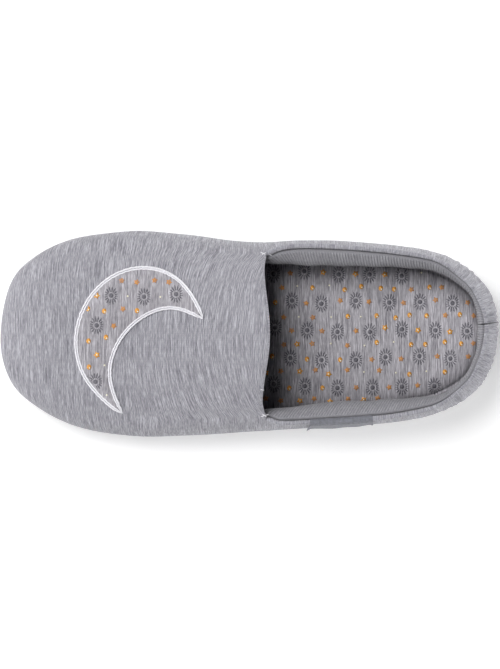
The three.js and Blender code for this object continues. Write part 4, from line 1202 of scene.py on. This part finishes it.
# Side label: ribbon sewn into the rim's seam, over the rim and down the outer side
label = {
    "length": 34.5, "behind": 21.5, "drop": 10.0, "thickness": 0.5, "flare": 0.2, "over": 0.4, "columns": 90,
    "levels": 31, "fold": 0.35, "sunk": 0.6,  # it bends by so much over the rim and starts that deep in it
    "cutCorner": 0.2, "cutDrop": 0.55,        # share of the length with the back lower corner folded away
    "pinch": 0.065,                           # how far the front end leans back at the seam
    "pucker": (0.9, 0.5), "sag": 0.2,         # the front and back ends stand off, and the edge waves, mm
}


def makeLabel():
    p = label
    fine = np.linspace(throatRow, heelRow - 2, 1500)
    front = throatX - p["behind"]
    ends = np.interp([p["length"] - front, -front], -outline(fine)[:, 0], fine)
    share = np.linspace(0, 1, p["columns"] + 1)
    depth = p["drop"] * (p["cutDrop"] + (1 - p["cutDrop"]) * np.minimum(share / p["cutCorner"], 1))
    sag = p["sag"] * ripple(share[:, None] * 34, 15.0, 21)
    pucker = p["pucker"][0] * smooth((share - 0.93) / 0.07) + p["pucker"][1] * smooth((0.05 - share) / 0.05)
    top = p["over"] + shoe["fit"]
    stops = []
    for down in (-0.12, -0.04, *np.linspace(0.06, 1, 8)):
        lean = p["pinch"] * (1 - max(down, 0)) * smooth((share - 0.8) / 0.2)
        stations = ends[0] + (ends[1] - ends[0]) * (share - lean)
        turn = rimTurn(stations)
        seam, edge = wall(stations, turn, shoe["wall"]), wall(stations, turn, -shoe["fit"])
        if down < -0.1:
            stops.append(seam + [0, 0, top - p["sunk"]])
        elif down < 0:
            stops.append((seam + edge) / 2 + [0, 0, top + p["fold"]])
        else:
            off = shoe["fit"] + (p["flare"] + pucker) * down ** 2 + sag * down
            stops.append(wallAtHeight(stations, edge[:, 2] - depth * down, -off))
    # a cubic through the stops, then a thickness to the side that faces out
    stops = np.array(stops)
    at = np.linspace(0, len(stops) - 1, p["levels"])
    base = np.minimum(np.floor(at).astype(int), len(stops) - 2)
    pick = [stops[np.clip(base + step, 0, len(stops) - 1)] for step in (-1, 0, 1, 2)]
    sheet = cubic(*pick, (at - base)[:, None, None]).transpose(1, 0, 2)
    face = unit(np.cross(np.gradient(sheet, axis=1), np.gradient(sheet, axis=0)))
    face *= np.sign(face[len(face) // 2, 20, 1])
    outer = sheet + face * p["thickness"]
    points, quads = loftBody(np.concatenate([sheet, outer[:, ::-1]], 1))
    drop = runLength(sheet, 1)
    flat = np.stack([np.broadcast_to(share[:, None] * p["length"], drop.shape), drop], -1)
    cloth = np.concatenate([flat, flat[:, ::-1]], 1).reshape(-1, 2)
    piece = makePiece("ribbonLabel", points, quads, cloth=cloth[quads.ravel()])
    piece.data.set_sharp_from_angle(angle=math.radians(50))
    piece.data.materials.append(wovenRibbon)
    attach(piece, "root")
    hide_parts("side_label")


makeLabel()
print("stage: label made")

# Camera straight above with a long lens; the picture is 500 by 669 and one pixel is 0.5176 mm at the
# height of the widest line, the toe to the left.
view = {"lens": 250.0, "sensor": 36.0, "pixel": 0.5176, "height": 669, "middle": (-0.39, 0.26), "level": 24.0}
camera = bpy.data.cameras.new("topCamera")
camera.lens, camera.sensor_width, camera.clip_end = view["lens"], view["sensor"], 50.0
cameraObject = bpy.data.objects.new("topCamera", camera)
bpy.context.scene.collection.objects.link(cameraObject)
distance = view["pixel"] * view["height"] * view["lens"] / view["sensor"]
cameraObject.location = np.array([*view["middle"], distance + view["level"]]) / 1000
cameraObject.rotation_euler = (0, 0, math.pi)
bpy.context.scene.camera = cameraObject

# Floor of a light table: white, with a faint glow that keeps shadows soft
floorMesh = bpy.data.meshes.new("floor")
floorMesh.from_pydata([(-8, -8, 0), (8, -8, 0), (8, 8, 0), (-8, 8, 0)], [], [(0, 1, 2, 3)])
floor = bpy.data.objects.new("floor", floorMesh)
bpy.context.scene.collection.objects.link(floor)
floorPaint, _, _ = newMaterial("floorPaint", {"Base Color": linear("#f9f9f9"), "Roughness": 0.9,
                                              "Emission Color": (1, 1, 1, 1), "Emission Strength": 0.25})
floorMesh.materials.append(floorPaint)

# Wide, soft suns stand in for large diffusers: where each shines from, its spread and its strength
lights = {
    "keyLight": {"place": (0.4, -0.4, 1.0), "spread": 32, "strength": 2.2},
    "outerLight": {"place": (0.42, 0.6, 1.0), "spread": 35, "strength": 0.86},
    "toeLight": {"place": (2.5, 0.0, 1.0), "spread": 40, "strength": 0.65},
    "heelLight": {"place": (-1.0, 0.0, 0.2), "spread": 20, "strength": 1.5},
}
for name, made in lights.items():
    lamp = bpy.data.lights.new(name, "SUN")
    lamp.angle, lamp.energy = math.radians(made["spread"]), made["strength"]
    lampObject = bpy.data.objects.new(name, lamp)
    x, y, z = lampObject.location = made["place"]
    lampObject.rotation_euler = (math.atan2(math.hypot(x, y), z), 0, math.atan2(y, x) + math.pi / 2)
    bpy.context.scene.collection.objects.link(lampObject)

# A white cyclorama: bright at the horizon, dark overhead, easing with the height of the direction
studio = {"strength": 0.8, "bright": 0.22, "dark": 0.42}
world = bpy.data.worlds.new("studio")
bpy.context.scene.world = world
world.use_nodes = True
sky = world.node_tree
direction = addNode(sky, "TexCoord").outputs["Generated"]
upwards = addNode(sky, "SeparateXYZ", None, {0: direction}).outputs["Z"]
glow = addNode(sky, "MapRange", {"interpolation_type": "SMOOTHSTEP", "From Min": studio["bright"],
                                 "From Max": studio["dark"], "To Min": studio["strength"], "To Max": 0.0},
               {0: upwards})
sky.nodes["Background"].inputs["Color"].default_value = (1, 1, 1, 1)
sky.links.new(glow.outputs[0], sky.nodes["Background"].inputs["Strength"])
bpy.context.scene.view_settings.view_transform = "Standard"
print("stage: camera, floor and lights set")
